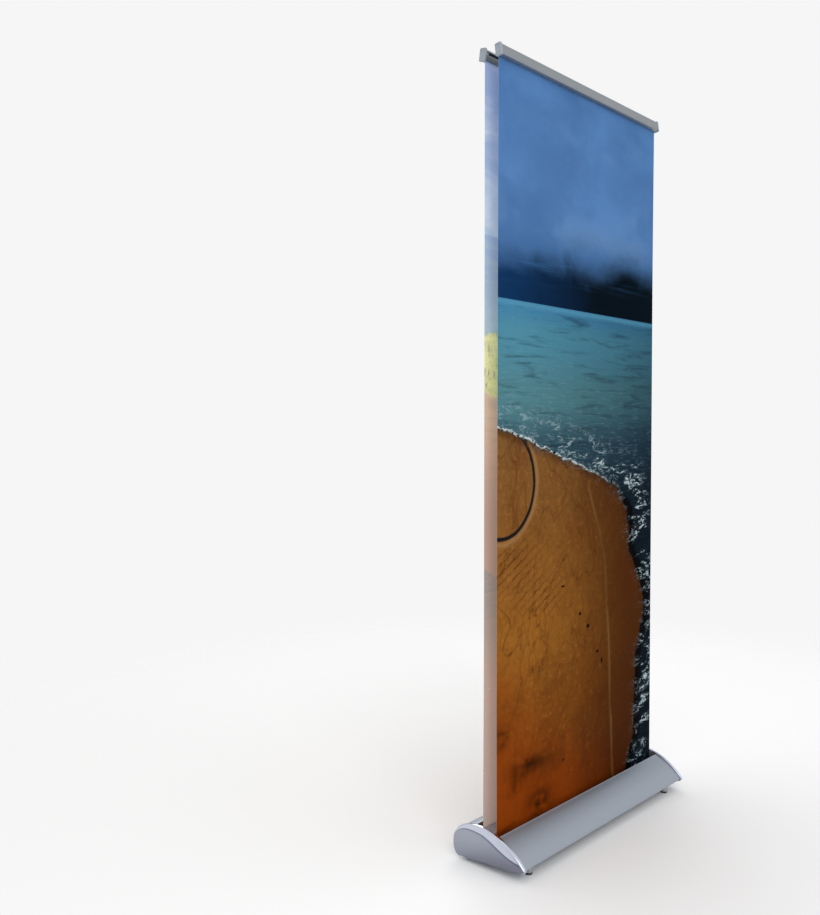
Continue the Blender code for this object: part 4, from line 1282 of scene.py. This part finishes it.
def pad_mesh(name, centre):
    """A rubber foot: a hollow rim under it, a rounded skirt and a shallow groove round its side."""
    profile = [(NEAR_AXIS, 0.0006), (0.0070, 0.0006), (0.0076, 0.0), (0.0094, 0.0), (0.0099, 0.0002), (0.0102, 0.0006)]
    profile += [(0.0104, 0.0012), (0.0104, 0.0019), (0.0101, 0.0021), (0.0101, 0.0025), (0.0104, 0.0027)]
    profile += [(0.0104, 0.0034), (0.0102, 0.0038), (0.0098, 0.0040), (NEAR_AXIS, 0.0040)]
    return turned_mesh(name, profile, centre, 64, closed=False)


for place in FEET:
    name = f"foot_pad_{place}"
    pad = to_object(f"rubber_foot_{place}", pad_mesh(f"{name}_plain", middle(name)), RUBBER, sharp=MOULDED_EDGE)
    stand_for(pad, f"{place}_pad", "black_rubber", name)


# %% Torsion springs
def spring_recipe():
    """A spiral along X, swept by a round wire."""
    recipe = Recipe("torsion spring", turns=12.0, coil=0.0095, wire=0.0009, start=0.1, length=0.27, y=0.0, z=0.0)
    named = {"Resolution": 24, "Rotations": recipe.given("turns"), "Start Radius": recipe.given("coil"),
             "End Radius": recipe.given("coil"), "Height": recipe.given("length")}
    spiral = recipe.make("GeometryNodeCurveSpiral", {}, **named)
    ring = recipe.make("GeometryNodeCurvePrimitiveCircle", Resolution=8, Radius=recipe.given("wire"))
    named = {"Curve": spiral, "Profile Curve": ring, "Fill Caps": True}
    wire = recipe.make("GeometryNodeCurveToMesh", **named)
    place = recipe.vector(recipe.given("start"), recipe.given("y"), recipe.given("z"))
    laid = recipe.make("GeometryNodeTransform", Geometry=wire, Rotation=(0.0, math.pi / 2, 0.0), Translation=place)
    return recipe.close(laid, smooth_angle=70.0)


SPRING = spring_recipe()
WIRE_RADIUS = 0.0009
for sheet in SHEETS:
    node = f"{sheet}_torsion_spring"
    reach = high(node).x - low(node).x - 2 * WIRE_RADIUS
    sizes = {"turns": 64.0, "coil": 0.0095, "wire": WIRE_RADIUS, "start": low(node).x + WIRE_RADIUS, "length": reach,
             "y": middle(node).y, "z": middle(node).z}
    spring = grow(f"{sheet}_coil_spring", bpy.data.meshes.new("seed"), SPRING, ZINC, **sizes)
    stand_for(spring, "base", "zinc_steel", node)

# %% [markdown]
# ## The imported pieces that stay
#
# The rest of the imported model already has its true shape: tubes, plates, plugs, screws and shafts. Its meshes are
# loose triangles, so a small Geometry Nodes tree merges them and shades them smooth except over sharp edges. It is a
# live modifier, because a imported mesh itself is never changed. Each one then gets the material of its finish.

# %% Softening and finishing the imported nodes
NODE_FINISHES = {
    "anodised_aluminium": ALUMINIUM_X, "chrome_plating": CHROME, "zinc_steel": ZINC, "grey_nylon": NYLON,
    "rail_cap_plastic": CAP_PLASTIC, "black_rubber": RUBBER, "printed_film": FRONT_BACK, "leader_film": LEADER,
}
UPRIGHT_TUBES = ("pole_lower_tube", "pole_middle_tube", "pole_top_tube")
WELD_DISTANCE = 1e-5


def soften_tree():
    """Merges loose triangles and marks edges sharper than an angle."""
    tree = bpy.data.node_groups.new("soften", "GeometryNodeTree")
    tree.interface.new_socket("Geometry", in_out="INPUT", socket_type="NodeSocketGeometry")
    angle = tree.interface.new_socket("Sharp Angle", in_out="INPUT", socket_type="NodeSocketFloat")
    angle.default_value = math.radians(SHARP_EDGE)
    tree.interface.new_socket("Geometry", in_out="OUTPUT", socket_type="NodeSocketGeometry")
    nodes = Nodes(tree)
    start = tree.nodes.new("NodeGroupInput")
    packed, limit = (Value(nodes, start.outputs[label]) for label in ("Geometry", "Sharp Angle"))
    merged = nodes.make("GeometryNodeMergeByDistance", {}, Geometry=packed, Distance=WELD_DISTANCE)
    nodes.feed(tree.nodes.new("NodeGroupOutput"), {0: smoothed(nodes, merged, limit)})
    return tree


def slot_of(node):
    """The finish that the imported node's own material is named for."""
    return NODES[node].data.materials[0].name.split(".")[0]


SOFTEN = soften_tree()
for name, node in NODES.items():
    node.material_slots[0].material = ALUMINIUM_Z if name in UPRIGHT_TUBES else NODE_FINISHES[slot_of(name)]
    node.modifiers.new("soften", "NODES").node_group = SOFTEN
print("packed nodes finished", len(NODES))
